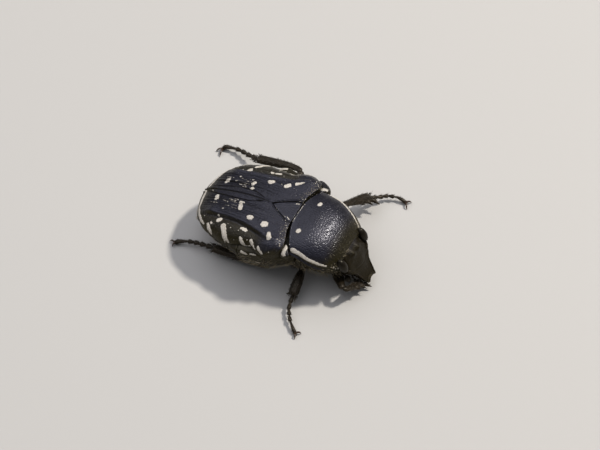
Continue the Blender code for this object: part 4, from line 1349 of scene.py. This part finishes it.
def neck_corner(p, n):
    return fade(-p[1], 2.2, 3.0) * fade(np.abs(p[0]), 0.9, 1.5) * fade(n[2], -0.6, 0.0)


def neck_tuft(p, n):
    return fade(-p[1], 3.04, 3.1) * hump(p[0], -0.62, 0.22) * fade(n[2], 0.0, 0.3)


def neck_underside(p, n):
    return fade(-n[2], -0.1, 0.3) * fade(np.abs(p[0]), 1.2, 1.9)


def wing_base(side):
    def where(p, n):
        x, y = p[0] * side, p[1]
        return (1 - fade(y - base_edge(x), 0.05, 0.42)) * band(x, 0.8, 1.1, 2.2, 2.6) * fade(n[2], 0.1, 0.5)

    return where


breast_hair = [
    (breast, 1100, breast_flank, (0.2, 0.42), 0.007, (0, 0.9, -0.2), 0.45),
    (throat, 900, lambda p, n: fade(-n[2], -0.4, 0.2), (0.2, 0.45), 0.007, (0, -0.7, -0.4), 0.55),
    (belly, 900, lambda p, n: fade(-n[2], -0.1, 0.4), (0.1, 0.22), 0.006, (0, 1, 0), 0.3),
    (tail_plate, 420, lambda p, n: fade(n[1], 0.0, 0.5), (0.12, 0.26), 0.006, (0, 0.4, -0.8), 0.45),
]
neck_hair = [
    (neck_shield, 70, neck_corner, (0.08, 0.2), 0.007, (0, -0.8, 0), 0.45),
    (neck_shield, 16, neck_tuft, (0.14, 0.24), 0.009, (0, -0.8, 0.2), 0.45),
    (neck_shield, 260, neck_underside, (0.15, 0.35), 0.007, (0, 0.3, -0.6), 0.5),
]
face_bristles = [(head, 220, lambda p, n: fade(p[2], 0.9, 1.4), (0.06, 0.16), 0.006, (0, -0.4, -0.8), 0.5)]
wing_down = [
    (wing_cases[side], 170, wing_base(side), (0.05, 0.11), 0.006, (0, 1, 0), 0.3) for side in (1, -1)
]
coat("breast_hair", breast_hair, straw, SEED + 11)
coat("neck_hair", neck_hair, straw, SEED + 12)
coat("face_bristles", face_bristles, dusk, SEED + 13)
coat("wing_base_down", wing_down, straw, SEED + 14)


# Floor, light and camera
# A plain pale floor and soft studio light, and a lamp at the beetle's upper left for the neck shield's glint.

FLOOR_HALF = 0.8
FLOOR_TONE = (0.44, 0.42, 0.385)
SKY_LOW, SKY_HIGH, SKY_HORIZON = (0.07, 0.058, 0.035), (0.8, 0.86, 1.0), (0.9, 0.9, 0.89)
LIGHT_DISTANCE = 0.3

pale, n = new_finish("pale_floor")
n.shade({"Base Color": FLOOR_TONE, "Roughness": 0.9})
bm = bmesh.new()
bmesh.ops.create_grid(bm, x_segments=1, y_segments=1, size=FLOOR_HALF)
floor = skinned("floor", bm)
floor.data.materials.append(pale)
floor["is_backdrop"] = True

world = bpy.data.worlds.new("studio")
world.use_nodes = True
n = Nodes(world.node_tree, "Generated")
height = n.add("SeparateXYZ", {0: n.place}, "Z")
sky = n.blend(n.ramp(height, 0.15, 0.95), SKY_LOW, SKY_HIGH)
sky = n.blend(n.ramp(height, 0.07, 0.13, 1.0, 0.0), sky, SKY_HORIZON)
n.feed(n.tree.nodes["Background"], {"Color": sky, "Strength": 0.5})
bpy.context.scene.world = world


def lamp(name, direction, width, power, colour):
    """A square area light that faces the beetle from a direction."""
    data = bpy.data.lights.new(name, "AREA")
    data.size, data.energy, data.color = width, power, colour
    light = show(name, data)
    away = Vector(direction).normalized()
    light.location = away * LIGHT_DISTANCE
    light.rotation_euler = away.to_track_quat("Z", "Y").to_euler()


lamp("glint", (0.396, -0.366, 0.764), 0.028, 0.95, (1.0, 0.97, 0.93))
lamp("sky", (0.1, 0.45, 1.0), 0.4, 0.66, (0.9, 0.91, 1.0))

CAMERA_AZIMUTH = radians(-62.4)
CAMERA_HEIGHT = radians(53.9)
CAMERA_AWAY = 0.17
CAMERA_LOOKS_AT = (0.0, 1.0, 2.5)
PHOTO_WIDTH, PHOTO_HEIGHT = 600, 450
LOOK_PIXEL = (285.56, 223.25)
PIXELS_PER_MM = 17.56
SENSOR_WIDTH = 36

back = Vector((
    sin(CAMERA_AZIMUTH) * cos(CAMERA_HEIGHT), -cos(CAMERA_AZIMUTH) * cos(CAMERA_HEIGHT), sin(CAMERA_HEIGHT)
))
lens = bpy.data.cameras.new("camera")
lens.sensor_width = SENSOR_WIDTH
lens.lens = SENSOR_WIDTH * PIXELS_PER_MM * CAMERA_AWAY / MM / PHOTO_WIDTH
lens.shift_x = (PHOTO_WIDTH / 2 - LOOK_PIXEL[0]) / PHOTO_WIDTH
lens.shift_y = (LOOK_PIXEL[1] - PHOTO_HEIGHT / 2) / PHOTO_WIDTH
lens.clip_start = 0.005
lens.clip_end = 10
camera = show("camera", lens)
camera.location = Vector((np.array(CAMERA_LOOKS_AT) - MIDDLE) * MM) + back * CAMERA_AWAY
camera.rotation_euler = back.to_track_quat("Z", "Y").to_euler()
bpy.context.scene.camera = camera
bpy.context.scene.view_settings.view_transform = "Standard"

low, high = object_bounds()
